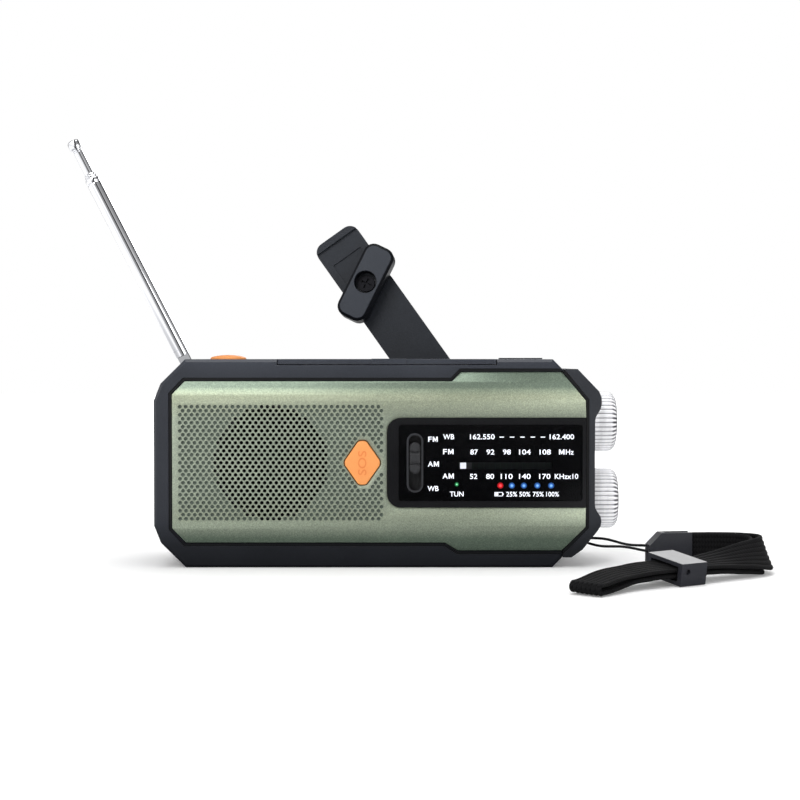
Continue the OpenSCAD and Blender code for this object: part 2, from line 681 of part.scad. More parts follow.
// ---------- charging ports ----------
module usb_ports() color("silver") {
    box([40.2, 47.2], [9, back - wall - 0.1], [11.4, 16.6]);
    box([48.6, 52], [12, back - wall - 0.1], [12, 16]);
}
module usb_flap() color([0.15, 0.15, 0.16]) {
    prism([back - 0.8, back + 0.5]) round_rect([37.7, 54.3], [8.4, 20.6], 1.3);
    prism([back - 2, back - 0.7]) round_rect([39.6, 52.4], [10.4, 17.8], 0.8);
    prism([back + 0.4, back + 0.62]) round_rect([43, 49], [18.6, 19.6], 0.4);
}

module housing_screws() color("silver") {
    for (at = screws) difference() {
        union() {
            bar_y(at, 1.2, [split - 8, back - 2.9]);
            bar_y(at, 2.6, [back - 2.95, back - 1.2]);
        }
        at_xz(at) cross_slot(3.2, 0.7, back - 2);
    }
    bar_y(door_screw_at, 1, [back - 5.5, back - 0.3]);
    bar_y(door_screw_at, 1.8, [back - 0.35, back + 0.3]);
}

// ---------- wrist strap ----------
// A doubled length of flat webbing: both ends are held in the clip, it turns
// back on the right, rolls over from upright to nearly flat, runs through the
// slider and ends in a folded loop.
slider_at = [98.3, -61, 4.87];                    // middle of the slider
slider_dir = unit([0.835, 0.55, 0]);              // webbing direction at the slider
slider_tilt = 8;
clip_at = [94, -28.7, 0];                         // left end of the clip
clip_turn = 9.1;
clip_dir = [cos(clip_turn), sin(clip_turn), 0];
layer_gap = 0.95;                                 // centre line to the middle of each layer
function on_slider(d) = concat(slider_at + slider_dir * d, [slider_tilt, layer_gap]);
function on_clip(d) = let (p = clip_at + clip_dir * d) [p[0], p[1], 6.6, 90, layer_gap];
// X, Y, Z, roll from flat in degrees, half the distance between the layers
web_line = [on_clip(6), on_clip(10.5), on_clip(15.5),
    [118.6, -24.9, 6.5, 90, 1.0], [126.6, -26.4, 6.45, 86, 1.25],
    [131.4, -31.8, 6.3, 76, 1.6], [130.2, -38.6, 6.0, 60, 1.6],
    [123.8, -44.6, 5.7, 38, 1.25], [115.2, -50, 5.35, 19, 1.0],
    on_slider(10.5), on_slider(5), on_slider(0), on_slider(-6), on_slider(-12),
    [84, -70.5, 4.6, 7, 1.0], [78, -74.6, 4.0, 6, 1.05],
    [71, -82.2, 3.0, 3, 1.2], [66.4, -87.2, 2.3, 1, 1.3]];

// Catmull-Rom curve through points, in a number of steps between each two
function blend(a, b, c, d, t) = 0.5 * ((2 * b) + (c - a) * t
    + (2 * a - 5 * b + 4 * c - d) * t * t + (3 * b - a - 3 * c + d) * t * t * t);
function curve(p, steps) = [for (i = [0 : len(p) - 2], j = [0 : steps - 1])
    blend(p[max(i - 1, 0)], p[i], p[i + 1], p[min(i + 2, len(p) - 1)], j / steps),
    p[len(p) - 1]];
web_curve = curve(web_line, 3);
web_last = len(web_curve) - 1;
function web_point(i) = let (p = web_curve[i]) [p[0], p[1], p[2]];
function web_along(i) = unit(web_point(min(i + 1, web_last)) - web_point(max(i - 1, 0)));
function web_across(i) =
    let (along = web_along(i),
         level = unit([along[1], -along[0], 0]),
         up = unit([0, 0, 1] - along * along[2]),
         roll = web_curve[i][3])
    level * cos(roll) + up * sin(roll);
// Stations: middle of the layer, width direction, thickness direction
function web_station(i, side) =
    let (across = web_across(i), normal = cross(web_along(i), across))
    [web_point(i) - normal * side * web_curve[i][4], across, normal * side];
function web_fold(angle) =
    let (along = web_along(web_last),
         across = web_across(web_last),
         outward = along * sin(angle) - cross(along, across) * cos(angle))
    [web_point(web_last) + outward * web_curve[web_last][4], across, -outward];
web_stations = concat([for (i = [0 : web_last]) web_station(i, 1)],
    [for (angle = [30 : 30 : 150]) web_fold(angle)],
    [for (i = [web_last : -1 : 0]) web_station(i, -1)]);
module strap_webbing() color([0.09, 0.09, 0.1]) {
    last = 4 * len(web_stations) - 4;             // first corner of the last station
    polyhedron(
        points = [for (s = web_stations, corner = [[1, 1], [1, -1], [-1, -1], [-1, 1]])
            s[0] + s[1] * corner[0] * web_width / 2 + s[2] * corner[1] * web_thickness / 2],
        faces = concat([[0, 1, 2], [0, 2, 3]],
            [for (i = [0 : len(web_stations) - 2], j = [0 : 3]) each
                let (a = 4 * i + j, b = 4 * i + (j + 1) % 4, c = b + 4, d = a + 4)
                [[a, c, b], [a, d, c]]],
            [[last, last + 2, last + 1], [last, last + 3, last + 2]]));
}
// Clip that holds both ends of the webbing and the cord
module strap_plate() color(strap_grey) difference() {
    translate(clip_at) rotate([0, 0, clip_turn]) difference() {
        prism(span(2.8)) polygon([[0, 0.5], [15, 0.5], [15, 12.9], [4.2, 12.9], [0, 8.7]]);
        box([5.7, 17.7], span(1.75), [-1, 15]);
    }
    for (side = [-1, 1]) strand(side, 0.56, 1.03);
}
module strap_slider() color(strap_grey) translate(slider_at)
    rotate([0, 0, atan2(slider_dir[1], slider_dir[0])]) rotate([slider_tilt, 0, 0]) difference() {
        box(span(5.5), span(8.2), span(3.7));
        box(span(10), span(6.35), span(2.4));
        bar_y([-2.6, 0.9], 0.9, [-27, -7]);       // round dimple in the side
    }
// Thin twin cord from the eye to the clip
cord_start = [eye_at[0], eye_at[1], 8.6];
cord_end = [95.4, -28.6, 7.2];
// One side of the cord; reach is the fraction of its length
module strand(side, r, reach = 1) {
    start = cord_start + side * [1.4, 1.45, 0];
    run = (cord_end + side * [0.4, 0.6, 0.9] - start) * reach;
    length = norm(run);
    translate(start) rotate([0, acos(run[2] / length), atan2(run[1], run[0])])
        cylinder(r = r, h = length);
}
module strap_cord() color([0.08, 0.08, 0.09]) {
    // ring round the bar of the eye
    translate(cord_start) rotate_extrude() translate([2.1, 0]) circle(r = 0.55, $fn = 24);
    for (side = [-1, 1]) strand(side, 0.5);
}

front_housing();
rear_housing();
side_cap();
front_panel();
window_bezel();
dial_plate();
dial_window();
tuning_pointer();
band_switch();
board_switches();
led_red();
led_blue();
led_green();
sos_button();
lamp_button();
tuning_knob();
tuning_shaft();
tuning_capacitor();
volume_knob();
volume_shaft();
volume_potentiometer();
solar_lid();
solar_panel();
lamp_diffuser();
lid_hinge_pin();
antenna_base();
antenna_foot();
antenna_rivet();
antenna_section_1();
antenna_section_2();
antenna_section_3();
antenna_section_4();
crank_hub();
drive_gear();
crank_hinge_pin();
crank_arm();
crank_grip();
grip_screw();
idler_gear();
generator_pinion();
generator_body();
gearbox_plate();
speaker_basket();
speaker_cone();
speaker_magnet();
main_pcb();
battery_cell();
battery_cover();
ferrite_rod();
ferrite_coil();
torch_reflector();
torch_led();
torch_lens();
usb_flap();
usb_ports();
housing_screws();
strap_cord();
strap_webbing();
strap_plate();
strap_slider();
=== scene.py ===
"""Portable crank radio with a solar lid, telescopic aerial, torch and wrist strap.

The case lies along X and stands on z = 0. Its front panel faces -Y, towards the camera.
The dial window is on the +X half and the speaker on the -X half. The two ribbed knobs
turn about X. The aerial leans towards -X and +X carries the strap. Blender works in
metres; shapes are drawn in millimetres and scaled by MM.
"""
import math
from math import pi

import bmesh
import bpy
from mathutils import Matrix, Vector, geometry

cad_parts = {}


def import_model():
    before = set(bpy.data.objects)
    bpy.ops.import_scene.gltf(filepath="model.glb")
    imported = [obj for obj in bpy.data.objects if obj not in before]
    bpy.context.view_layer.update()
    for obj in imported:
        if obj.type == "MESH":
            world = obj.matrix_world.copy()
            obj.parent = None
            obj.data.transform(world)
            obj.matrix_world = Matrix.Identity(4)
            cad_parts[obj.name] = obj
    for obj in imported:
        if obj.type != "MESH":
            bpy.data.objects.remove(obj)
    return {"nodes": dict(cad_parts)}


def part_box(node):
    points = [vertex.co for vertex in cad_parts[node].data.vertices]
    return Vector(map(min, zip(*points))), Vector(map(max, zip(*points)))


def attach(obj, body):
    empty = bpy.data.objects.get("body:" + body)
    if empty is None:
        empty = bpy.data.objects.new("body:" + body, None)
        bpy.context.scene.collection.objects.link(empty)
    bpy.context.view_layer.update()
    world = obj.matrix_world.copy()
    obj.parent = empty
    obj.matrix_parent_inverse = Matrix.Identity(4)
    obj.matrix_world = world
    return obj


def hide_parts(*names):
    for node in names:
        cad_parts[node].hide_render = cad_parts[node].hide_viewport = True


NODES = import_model()["nodes"]
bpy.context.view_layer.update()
MM = 0.001
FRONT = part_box("front_housing")[0][1]       # front plane of the case, metres
FRONT_MM = FRONT / MM
SHADE_HEIGHT = 0.08                         # height over which the paint and plastic shade, metres


# ------------------------------------------------------------------ shader helpers
class Graph:
    """A shader node tree. Inputs may be given as numbers, RGB tuples or output sockets."""

    def __init__(self, tree):
        self.tree = tree
        tree.nodes.clear()

    def link(self, source, target):
        self.tree.links.new(source, target)

    def put(self, socket, value):
        if isinstance(value, bpy.types.NodeSocket):
            self.link(value, socket)
        elif isinstance(value, tuple):
            socket.default_value = (*value, 1)
        else:
            socket.default_value = value

    def node(self, kind, *values, **properties):
        """New node; the values fill its inputs in order."""
        node = self.tree.nodes.new("ShaderNode" + kind)
        for key, value in properties.items():
            setattr(node, key, value)
        for socket, value in zip(list(node.inputs), values):
            self.put(socket, value)
        return node

    def output_of(self, kind, *values, **properties):
        """First output of a new node."""
        return self.node(kind, *values, **properties).outputs[0]

    def math(self, operation, *values):
        return self.output_of("Math", *values, operation=operation)

    def spread(self, source, span, base):
        """base + span * source"""
        return self.math("MULTIPLY_ADD", source, span, base)

    def length(self, x, y):
        squares = [self.math("MULTIPLY", side, side) for side in (x, y)]
        return self.math("SQRT", self.math("ADD", *squares))

    def map_range(self, value, source, target=(0.0, 1.0)):
        return self.output_of("MapRange", value, *source, *target)

    def mix(self, factor, first, second, blend="MIX"):
        node = self.node("Mix", factor, data_type="RGBA", blend_type=blend)
        self.put(node.inputs[6], first)
        self.put(node.inputs[7], second)
        return node.outputs[2]

    def multiply(self, first, second):
        return self.mix(1.0, first, second, "MULTIPLY")

    def ramp(self, factor, stops):
        """Colour ramp; stops are (position, grey or RGB)."""
        node = self.node("ValToRGB", factor)
        elements = node.color_ramp.elements
        while len(elements) < len(stops):
            elements.new(0.5)
        for element, (position, color) in zip(elements, stops):
            if not isinstance(color, tuple):
                color = (color, color, color)
            element.position = position
            element.color = (*color, 1)
        return node.outputs[0]

    def coord(self, output):
        return self.node("TexCoord").outputs[output]

    def axes(self, vector):
        return self.node("SeparateXYZ", vector).outputs


def tint(color, factor):
    return tuple(min(1, channel * factor) for channel in color)


class Material(Graph):
    """A principled material with helpers for procedural detail."""

    def __init__(self, name):
        self.material = bpy.data.materials.new(name)
        self.material.use_nodes = True
        super().__init__(self.material.node_tree)
        self.output = self.node("OutputMaterial")
        self.shader = self.node("BsdfPrincipled")
        self.surface(self.shader.outputs[0])
        self.place = self.coord("Object")
        self.normal = None

    def surface(self, socket):
        self.link(socket, self.output.inputs[0])

    def set(self, **values):
        """Principled inputs, named with underscores for spaces."""
        for key, value in values.items():
            self.put(self.shader.inputs[key.replace("_", " ")], value)

    def scaled(self, scale):
        """Object coordinates times one scale, or one for each axis."""
        node = self.node("Mapping", self.place)
        each = scale if isinstance(scale, tuple) else (scale, scale, scale)
        node.inputs["Scale"].default_value = each
        return node.outputs[0]

    def texture(self, kind, vector, **values):
        node = self.node(kind)
        self.put(node.inputs["Vector"], vector)
        for key, value in values.items():
            self.put(node.inputs[key], value)
        return node

    def noise(self, scale, detail=3.0, rough=0.55):
        node = self.texture("TexNoise", self.scaled(scale),
                            Scale=1.0, Detail=detail, Roughness=rough)
        return node.outputs["Fac"]

    def voronoi(self, scale, output):
        return self.texture("TexVoronoi", self.scaled(scale), Scale=1.0).outputs[output]

    def mottle(self, source, color, low, high, stops=(0.3, 0.7)):
        """Colour that wanders from color * low to color * high."""
        shades = (tint(color, low), tint(color, high))
        return self.ramp(source, list(zip(stops, shades)))

    def bump(self, height, distance, strength):
        """Relief, laid over any relief already there."""
        node = self.node("Bump")
        node.inputs["Strength"].default_value = strength
        node.inputs["Distance"].default_value = distance
        self.link(height, node.inputs["Height"])
        if self.normal:
            self.link(self.normal, node.inputs["Normal"])
        self.normal = node.outputs[0]
        self.set(Normal=self.normal)

    def glow(self, color, strength):
        self.set(Emission_Color=color, Emission_Strength=strength)


# ------------------------------------------------------------------ plastics
def paint_light_by_height(m, color, spec):
    """Painted light and shade: paler towards the top, darker near the ground, painted shade on the
    ledge round the panel, and less specular near the ground.
    """
    place = m.axes(m.place)
    height = m.math("MULTIPLY", place[2], 1 / SHADE_HEIGHT)
    # painted light: darker near the ground, paler towards the top edge
    height_light = [(0.0, 0.32), (0.09, 0.42), (0.2, 0.92), (0.7, 1.0), (0.84, 1.05), (0.90, 1.42)]
    color = m.multiply(color, m.ramp(height, height_light))
    # painted shade: the ledge faces -Y and lies 0.4 to 0.9 mm behind the front plane; it is
    # coloured near black
    normal = m.axes(m.coord("Normal"))
    faces_front = m.math("LESS_THAN", normal[1], -0.8)
    behind = m.math("GREATER_THAN", place[1], FRONT + 0.0004)
    shallow = m.math("LESS_THAN", place[1], FRONT + 0.0009)
    ledge_shade = m.math("MULTIPLY", faces_front, m.math("MULTIPLY", behind, shallow))
    color = m.mix(ledge_shade, color, (0.0035, 0.004, 0.005))
    sheen = m.ramp(height, [(0.0, 0.35), (0.12, 0.55), (0.25, 1.0)])
    m.set(Specular_IOR_Level=m.math("MULTIPLY", sheen, spec))
    return color


def paint_shade_by_facing(m, color, spec, broad_face):
    """Painted shade: darker, and less specular, where the surface turns away from the direction
    broad_face.
    """
    dot = m.node("VectorMath", m.coord("Normal"), operation="DOT_PRODUCT")
    dot.inputs[1].default_value = broad_face
    turn = m.ramp(dot.outputs["Value"], [(0.0, 0.30), (0.78, 0.16), (0.90, 0.5), (0.96, 1.0)])
    m.set(Specular_IOR_Level=m.math("MULTIPLY", turn, spec))
    return m.multiply(color, turn)


def moulded(name, color, rough=0.42, grain=2600, depth=0.00003, spec=0.5, vary=0.12,
            worn=False, broad_face=None):
    """Injection-moulded plastic: fine spark texture, slight mottling, rubbed sheen. worn adds
    painted light and shade by height; broad_face adds painted shade on turned faces.
    """
    m = Material(name)
    cloud = m.noise(38, detail=4, rough=0.6)
    fine = m.noise(grain, detail=2, rough=0.5)
    shade = m.mottle(cloud, color, 1 - vary, 1 + vary)
    speck = tuple(min(1, channel * 1.8 + 0.004) for channel in color)
    shade = m.mix(m.ramp(fine, [(0.35, 0.0), (0.75, 0.22)]), shade, speck)
    m.set(Specular_IOR_Level=spec)
    # worn: painted light and shade by height
    if worn:
        shade = paint_light_by_height(m, shade, spec)
    # broad_face: painted shade where the surface turns away
    if broad_face:
        shade = paint_shade_by_facing(m, shade, spec, broad_face)
    m.set(Base_Color=shade, Roughness=m.spread(cloud, span=0.16, base=rough - 0.08))
    m.bump(fine, distance=depth, strength=0.7)
    m.bump(m.noise(160, detail=2, rough=0.5), distance=0.00002, strength=0.25)
    return m.material


def gloss(name, color, rough, coat, spec=0.5, raised=None):
    """Glossy plastic. raised is (y, colour): surfaces in front of y take that colour."""
    m = Material(name)
    cloud = m.noise(90, detail=3, rough=0.5)
    shade = m.mottle(cloud, color, 0.9, 1.1)
    if raised:
        edge_y, raised_color = raised
        y = m.axes(m.coord("Object"))[1]
        shade = m.mix(m.math("LESS_THAN", y, edge_y), shade, raised_color)
    m.set(Base_Color=shade, Roughness=m.spread(cloud, span=0.05, base=rough),
          Specular_IOR_Level=spec, Coat_Weight=coat, Coat_Roughness=0.03)
    m.bump(m.noise(500, detail=2, rough=0.5), distance=0.000003, strength=0.2)
    return m.material


def clear_sheet(name, color, rough, body=0.0):
    """Clear polished sheet: see-through, with a mirror skin that grows at grazing views."""
    m = Material(name)
    m.tree.nodes.remove(m.shader)
    through = m.output_of("BsdfTransparent", color)
    sheen = m.spread(m.noise(120, detail=3, rough=0.5), span=0.03, base=rough)
    mirror = m.output_of("BsdfGlossy", (1, 1, 1), sheen)
    refractive_index = 1.47
    skin = m.math("MULTIPLY", m.output_of("Fresnel", refractive_index), 0.34)
    share = m.math("ADD", skin, body)
    m.surface(m.output_of("MixShader", share, through, mirror))
    return m.material


def knob_material():
    """Clear moulding over silver foil: faint ribs on the barrel, strong scallops at the end;
    painted shade in the rib grooves, at the outline and on the flat end, and a painted glow.
    """
    m = Material("knob_clear_silver")
    crown = m.node("Attribute", attribute_name="crown").outputs["Fac"]
    end = m.node("Attribute", attribute_name="rounded_end").outputs["Fac"]
    cloud = m.noise(300, detail=4, rough=0.6)
    # painted shade: the rib grooves are darker than the rib crowns
    barrel = m.ramp(crown, [(0.0, (0.30, 0.30, 0.32)), (0.30, (0.58, 0.58, 0.60)),
                            (0.62, (0.88, 0.88, 0.91)), (1.0, (0.96, 0.96, 0.98))])
    scallop = m.ramp(crown, [(0.0, (0.06, 0.06, 0.07)), (0.40, (0.16, 0.16, 0.18)),
                             (0.72, (0.55, 0.55, 0.58)), (0.92, (0.97, 0.97, 0.98))])
    shade = m.mix(end, barrel, scallop)
    streak = m.noise((220, 40, 40), detail=3, rough=0.6)
    shade = m.multiply(shade, m.ramp(streak, [(0.35, 0.78), (0.6, 1.0)]))
    # painted shade: the outline goes grey, and so does the flat end, which faces along X
    facing = m.node("LayerWeight", 0.5).outputs["Facing"]
    outline = [(0.0, 1.0), (0.34, 1.0), (0.52, 0.66), (0.74, 0.34), (0.92, 0.20)]
    shade = m.multiply(shade, m.ramp(facing, outline))
    endwise = m.math("ABSOLUTE", m.axes(m.coord("Normal"))[0])
    shade = m.multiply(shade, m.ramp(endwise, [(0.80, 1.0), (0.97, 0.42)]))
    m.set(Base_Color=shade, Metallic=0.15, Roughness=m.spread(cloud, span=0.10, base=0.16),
          Specular_IOR_Level=0.28, Coat_Weight=0.08, Coat_Roughness=0.05)
    # painted light: the knob glows with its own colour
    m.glow(shade, strength=0.34)
    m.bump(cloud, distance=0.000004, strength=0.4)
    return m.material


# ------------------------------------------------------------------ metals and paint
def metal(name, color, rough, streak, amount):
    """Polished metal; streak is the noise scale and amount its effect on roughness."""
    m = Material(name)
    cloud = m.noise(streak, detail=4, rough=0.6)
    shade = m.mottle(cloud, color, 0.93, 1.04, stops=(0.25, 0.75))
    sheen = m.spread(cloud, span=amount, base=rough)
    m.set(Base_Color=shade, Roughness=sheen, Metallic=1.0)
    m.bump(cloud, distance=0.000004, strength=0.4)
    return m.material


def sage_paint():
    """Metallic sage-green paint: silver-green base, fine flake, faint horizontal brushing, and
    painted light along the rolled top and bottom.
    """
    m = Material("sage_paint")
    flake = m.node("SeparateColor", m.voronoi(4200, "Color")).outputs
    cloud = m.noise((60, 60, 120), detail=4, rough=0.6)
    shade = m.ramp(cloud, [(0.3, (0.300, 0.345, 0.262)), (0.7, (0.335, 0.380, 0.290))])
    spark = m.ramp(flake[0], [(0.0, 0.80), (0.55, 1.0), (1.0, (1.28, 1.28, 1.22))])
    shade = m.multiply(shade, spark)
    # painted light: the rolled top and bottom of the panel are darker as painted shade, with a
    # painted highlight strip just below the top roll
    height = m.math("MULTIPLY", m.axes(m.place)[2], 1 / SHADE_HEIGHT)
    band = m.ramp(height, [
        (0.055, (0.36, 0.43, 0.42)), (0.125, (0.45, 0.52, 0.50)), (0.165, (0.86, 0.88, 0.86)),
        (0.23, (0.95, 0.94, 0.90)), (0.32, 1.0), (0.64, 0.97),
        (0.70, (1.02, 1.00, 0.95)), (0.745, (1.06, 1.02, 0.93)), (0.772, (0.80, 0.84, 0.79)),
        (0.785, (0.50, 0.56, 0.55)), (0.86, (0.46, 0.53, 0.52))])
    shade = m.multiply(shade, band)
    shade = m.multiply(shade, (1.22, 1.22, 1.27))
    m.set(Base_Color=shade, Metallic=0.62,
          Roughness=m.spread(flake[1], span=0.16, base=0.33))
    m.bump(flake[2], distance=0.000006, strength=0.5)
    brushing = m.noise((200, 200, 900), detail=3, rough=0.6)
    m.bump(brushing, distance=0.000012, strength=0.35)
    return m.material


# ------------------------------------------------------------------ lamps, print and pointer
def lamp_glow(name, core, rim, strength, lamps_x, lamps_z, radius):
    """Tinted lens that glows from the middle of each lamp."""
    m = Material(name)
    place = m.axes(m.place)
    nearest = None
    for lamp_x in lamps_x:
        distance = m.length(m.math("SUBTRACT", place[0], lamp_x),
                            m.math("SUBTRACT", place[2], lamps_z))
        nearest = m.math("MINIMUM", nearest, distance) if nearest else distance
    shade = m.ramp(m.math("DIVIDE", nearest, radius),
                   [(0.0, core), (0.55, rim), (1.0, tint(rim, 0.25))])
    m.set(Base_Color=shade, Roughness=0.15)
    m.glow(shade, strength)
    return m.material


def print_material():
    m = Material("dial_print_white")
    shade = m.mottle(m.noise(900, detail=2), (0.92, 0.92, 0.93), 0.93, 1.0)
    m.set(Base_Color=shade, Roughness=0.5)
    # painted light: the print glows so that it reads bright
    m.glow(shade, strength=1.15)
    return m.material


def pointer_material():
    """White nose on a black carriage."""
    m = Material("pointer_white")
    nose = m.math("LESS_THAN", m.axes(m.place)[1], FRONT + 0.0021)
    cloud = m.noise(900, detail=2)
    black = m.ramp(cloud, [(0.3, 0.006), (0.7, 0.009)])
    white = m.ramp(cloud, [(0.3, (0.82, 0.82, 0.84)), (0.7, (0.9, 0.9, 0.92))])
    shade = m.mix(nose, black, white)
    m.set(Base_Color=shade, Roughness=0.5)
    # painted light: the pointer glows with its own colour
    m.glow(shade, strength=0.5)
    return m.material


# ------------------------------------------------------------------ textiles, cells and board
def webbing_material():
    m = Material("webbing_weave")
    along, across, _ = m.axes(m.output_of("Mapping", m.output_of("UVMap")))
    # chevron picks: short stitches that slant the other way on each of the seven ribs
    within_rib = m.math("FRACT", m.math("MULTIPLY", across, 7.0))
    rib = m.math("ABSOLUTE", m.math("SUBTRACT", within_rib, 0.5))
    phase = m.math("ADD", m.math("MULTIPLY", along, 1.0), m.math("MULTIPLY", rib, 1.1))
    pick = m.math("ABSOLUTE", m.math("SINE", m.math("MULTIPLY", phase, pi)))
    fuzz = m.noise(5200, detail=2, rough=0.6)
    height = m.math("ADD", m.math("MULTIPLY", pick, 0.8), m.math("MULTIPLY", fuzz, 0.5))
    shade = m.ramp(height, [(0.2, (0.0012, 0.0012, 0.0013)), (0.95, (0.0066, 0.0066, 0.0074))])
    m.set(Base_Color=shade, Roughness=0.85, Specular_IOR_Level=0.15,
          Sheen_Weight=0.02, Sheen_Roughness=0.5)
    m.bump(height, distance=0.00012, strength=0.9)
    return m.material


def cord_material():
    m = Material("braided_cord")
    wave = m.texture("TexWave", m.place, Scale=520, Distortion=1.5)
    wave.bands_direction = "DIAGONAL"
    braid = wave.outputs["Fac"]
    shade = m.ramp(braid, [(0.2, (0.003, 0.003, 0.004)), (0.9, (0.012, 0.012, 0.013))])
    m.set(Base_Color=shade, Roughness=0.75, Specular_IOR_Level=0.25)
    m.bump(braid, distance=0.00008, strength=0.8)
    return m.material


def solar_material():
    """Blue crystal cells under a grid of busbars and fine fingers."""
    m = Material("solar_cells")
    place = m.axes(m.place)

    def lines(axis, pitch, share):
        """1 on lines of the given pitch in metres, each a share of the pitch wide."""
        within = m.math("FRACT", m.math("MULTIPLY", place[axis], 1 / pitch))
        return m.math("LESS_THAN", within, share)

    busbars = lines(0, pitch=0.0104, share=0.09)
    fingers = lines(1, pitch=0.0016, share=0.12)
    grid = m.math("MAXIMUM", busbars, m.math("MULTIPLY", fingers, 0.45))
    crystal = m.voronoi((700, 500, 700), "Distance")
    cell = m.ramp(crystal, [(0.0, (0.010, 0.017, 0.062)), (1.0, (0.020, 0.034, 0.11))])
    m.set(Base_Color=m.mix(grid, cell, (0.42, 0.44, 0.48)), Roughness=0.3,
          Specular_IOR_Level=0.22, Coat_Weight=0.25, Coat_Roughness=0.08, Coat_IOR=1.3)
    return m.material


def board_material():
    m = Material("circuit_board")
    brick = m.texture("TexBrick", m.place, Scale=260, Color1=(0.004, 0.016, 0.010),
                      Color2=(0.005, 0.020, 0.012), Mortar=(0.010, 0.034, 0.020))
    m.set(Base_Color=brick.outputs[0], Roughness=0.35)
    m.bump(brick.outputs["Fac"], distance=0.00004, strength=0.4)
    return m.material


# ------------------------------------------------------------------ the materials
# BLACK and BUMPER carry painted light and shade by height; GRIP carries painted shade on faces
# turned from the front
BLACK = moulded("shell_black", (0.0220, 0.0252, 0.0335), rough=0.40, worn=True, spec=0.38)
BUMPER = moulded("bumper_black", (0.0225, 0.0250, 0.0310), rough=0.34, worn=True)
GRIP = moulded("grip_black", (0.0255, 0.0300, 0.0395), rough=0.36, grain=3200, spec=0.28,
               broad_face=(0.0, -0.985, 0.0))
ARM = moulded("crank_black", (0.0150, 0.0178, 0.0235), rough=0.44, grain=2200, depth=0.00005,
              spec=0.24, vary=0.3)
BUCKLE = moulded("buckle_grey", (0.022, 0.023, 0.029), rough=0.30, grain=2400)
ORANGE = moulded("soft_orange", (0.90, 0.315, 0.085), rough=0.46, grain=3000, depth=0.00002,
                 vary=0.04)
# painted shade: a darker orange stands in for the shade of the embossed SOS letters
EMBOSS_SHADE = moulded("orange_lettering_shade", (0.80, 0.22, 0.05), rough=0.5, grain=3000,
                 depth=0.00002, vary=0.04)
BLACKING = metal("blackened_steel", (0.014, 0.014, 0.016), rough=0.32,
                 streak=(500, 500, 500), amount=0.12)
RUBBER = moulded("flap_rubber", (0.020, 0.020, 0.022), rough=0.6, grain=1800)
PANEL = sage_paint()
# painted shade: a darker green inside the dimples and hole rims stands in for the shade in them
RECESS_SHADE_GREEN = moulded("sage_recess_shade", (0.128, 0.158, 0.130), rough=0.5, grain=3000, depth=0.00002)
BEZEL = gloss("bezel_black", (0.0058, 0.0060, 0.0070), rough=0.16, coat=0.25)
# the raised ring round the band switch has a paler face
DIAL = gloss("dial_black", (0.0016, 0.0016, 0.0018), rough=0.10, coat=0.0, spec=0.12,
             raised=(FRONT - 0.00015, (0.036, 0.037, 0.041)))
SWITCH = moulded("switch_black", (0.026, 0.0265, 0.029), rough=0.36, grain=3000)
WINDOW = clear_sheet("dial_window_clear", (0.93, 0.94, 0.96), rough=0.03)
LENS = clear_sheet("torch_lens_clear", (0.96, 0.97, 1.0), rough=0.03, body=0.03)
CHROME = metal("antenna_chrome", (0.93, 0.94, 0.965), rough=0.05, streak=(90, 90, 18),
               amount=0.04)
STEEL = metal("bright_steel", (0.60, 0.60, 0.62), rough=0.22, streak=(500, 500, 500),
              amount=0.12)
PLATE = metal("plain_plate", (0.52, 0.53, 0.55), rough=0.30, streak=(300, 300, 60),
              amount=0.15)
MIRROR = metal("reflector_plating", (0.86, 0.87, 0.90), rough=0.05, streak=(150, 150, 150),
               amount=0.04)
KNOB = knob_material()
COPPER = metal("copper_wire", (0.72, 0.33, 0.14), rough=0.22, streak=(2600, 40, 40),
               amount=0.2)
NYLON = moulded("gear_nylon", (0.74, 0.70, 0.58), rough=0.45, grain=1500, depth=0.00001)
PAPER = moulded("speaker_paper", (0.010, 0.010, 0.011), rough=0.8, grain=1200, depth=0.00006)
FERRITE = moulded("ferrite", (0.035, 0.035, 0.038), rough=0.55, grain=900, depth=0.00004)
CONTROL = moulded("control_body", (0.42, 0.40, 0.34), rough=0.5, grain=1500)
CELL = gloss("cell_sleeve", (0.05, 0.20, 0.50), rough=0.2, coat=0.4)
# kept in the file's palette; no piece wears it
moulded("white_plastic", (0.88, 0.88, 0.88), rough=0.4, depth=0.00001, vary=0.03)
DIFFUSER = moulded("lamp_diffuser", (0.82, 0.83, 0.80), rough=0.32, grain=800,
                   depth=0.00002, vary=0.03)
SOLAR = solar_material()
BOARD = board_material()
WEBBING = webbing_material()
CORD = cord_material()
PRINT = print_material()
PHOSPHOR = gloss("led_phosphor", (0.90, 0.72, 0.25), rough=0.3, coat=0.3)


def box_middle(node, axis):
    low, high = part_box(node)
    return (low[axis] + high[axis]) / 2


RED_LAMP_Z = box_middle("led_red", 2)
LED_RED = lamp_glow("led_red_glow", core=(1.0, 0.10, 0.10), rim=(0.55, 0.008, 0.012),
                    strength=0.9, lamps_x=[box_middle("led_red", 0)], lamps_z=RED_LAMP_Z,
                    radius=0.0012)
LED_BLUE = lamp_glow("led_blue_glow", core=(0.30, 0.62, 1.0), rim=(0.035, 0.14, 0.45),
                     strength=0.8, lamps_x=[0.0477, 0.0519, 0.0566, 0.0614],
                     lamps_z=RED_LAMP_Z, radius=0.0011)
LED_GREEN = lamp_glow("led_green_glow", core=(0.4, 1.0, 0.55), rim=(0.03, 0.30, 0.09),
                      strength=1.1, lamps_x=[box_middle("led_green", 0)],
                      lamps_z=box_middle("led_green", 2), radius=0.0006)
POINTER = pointer_material()

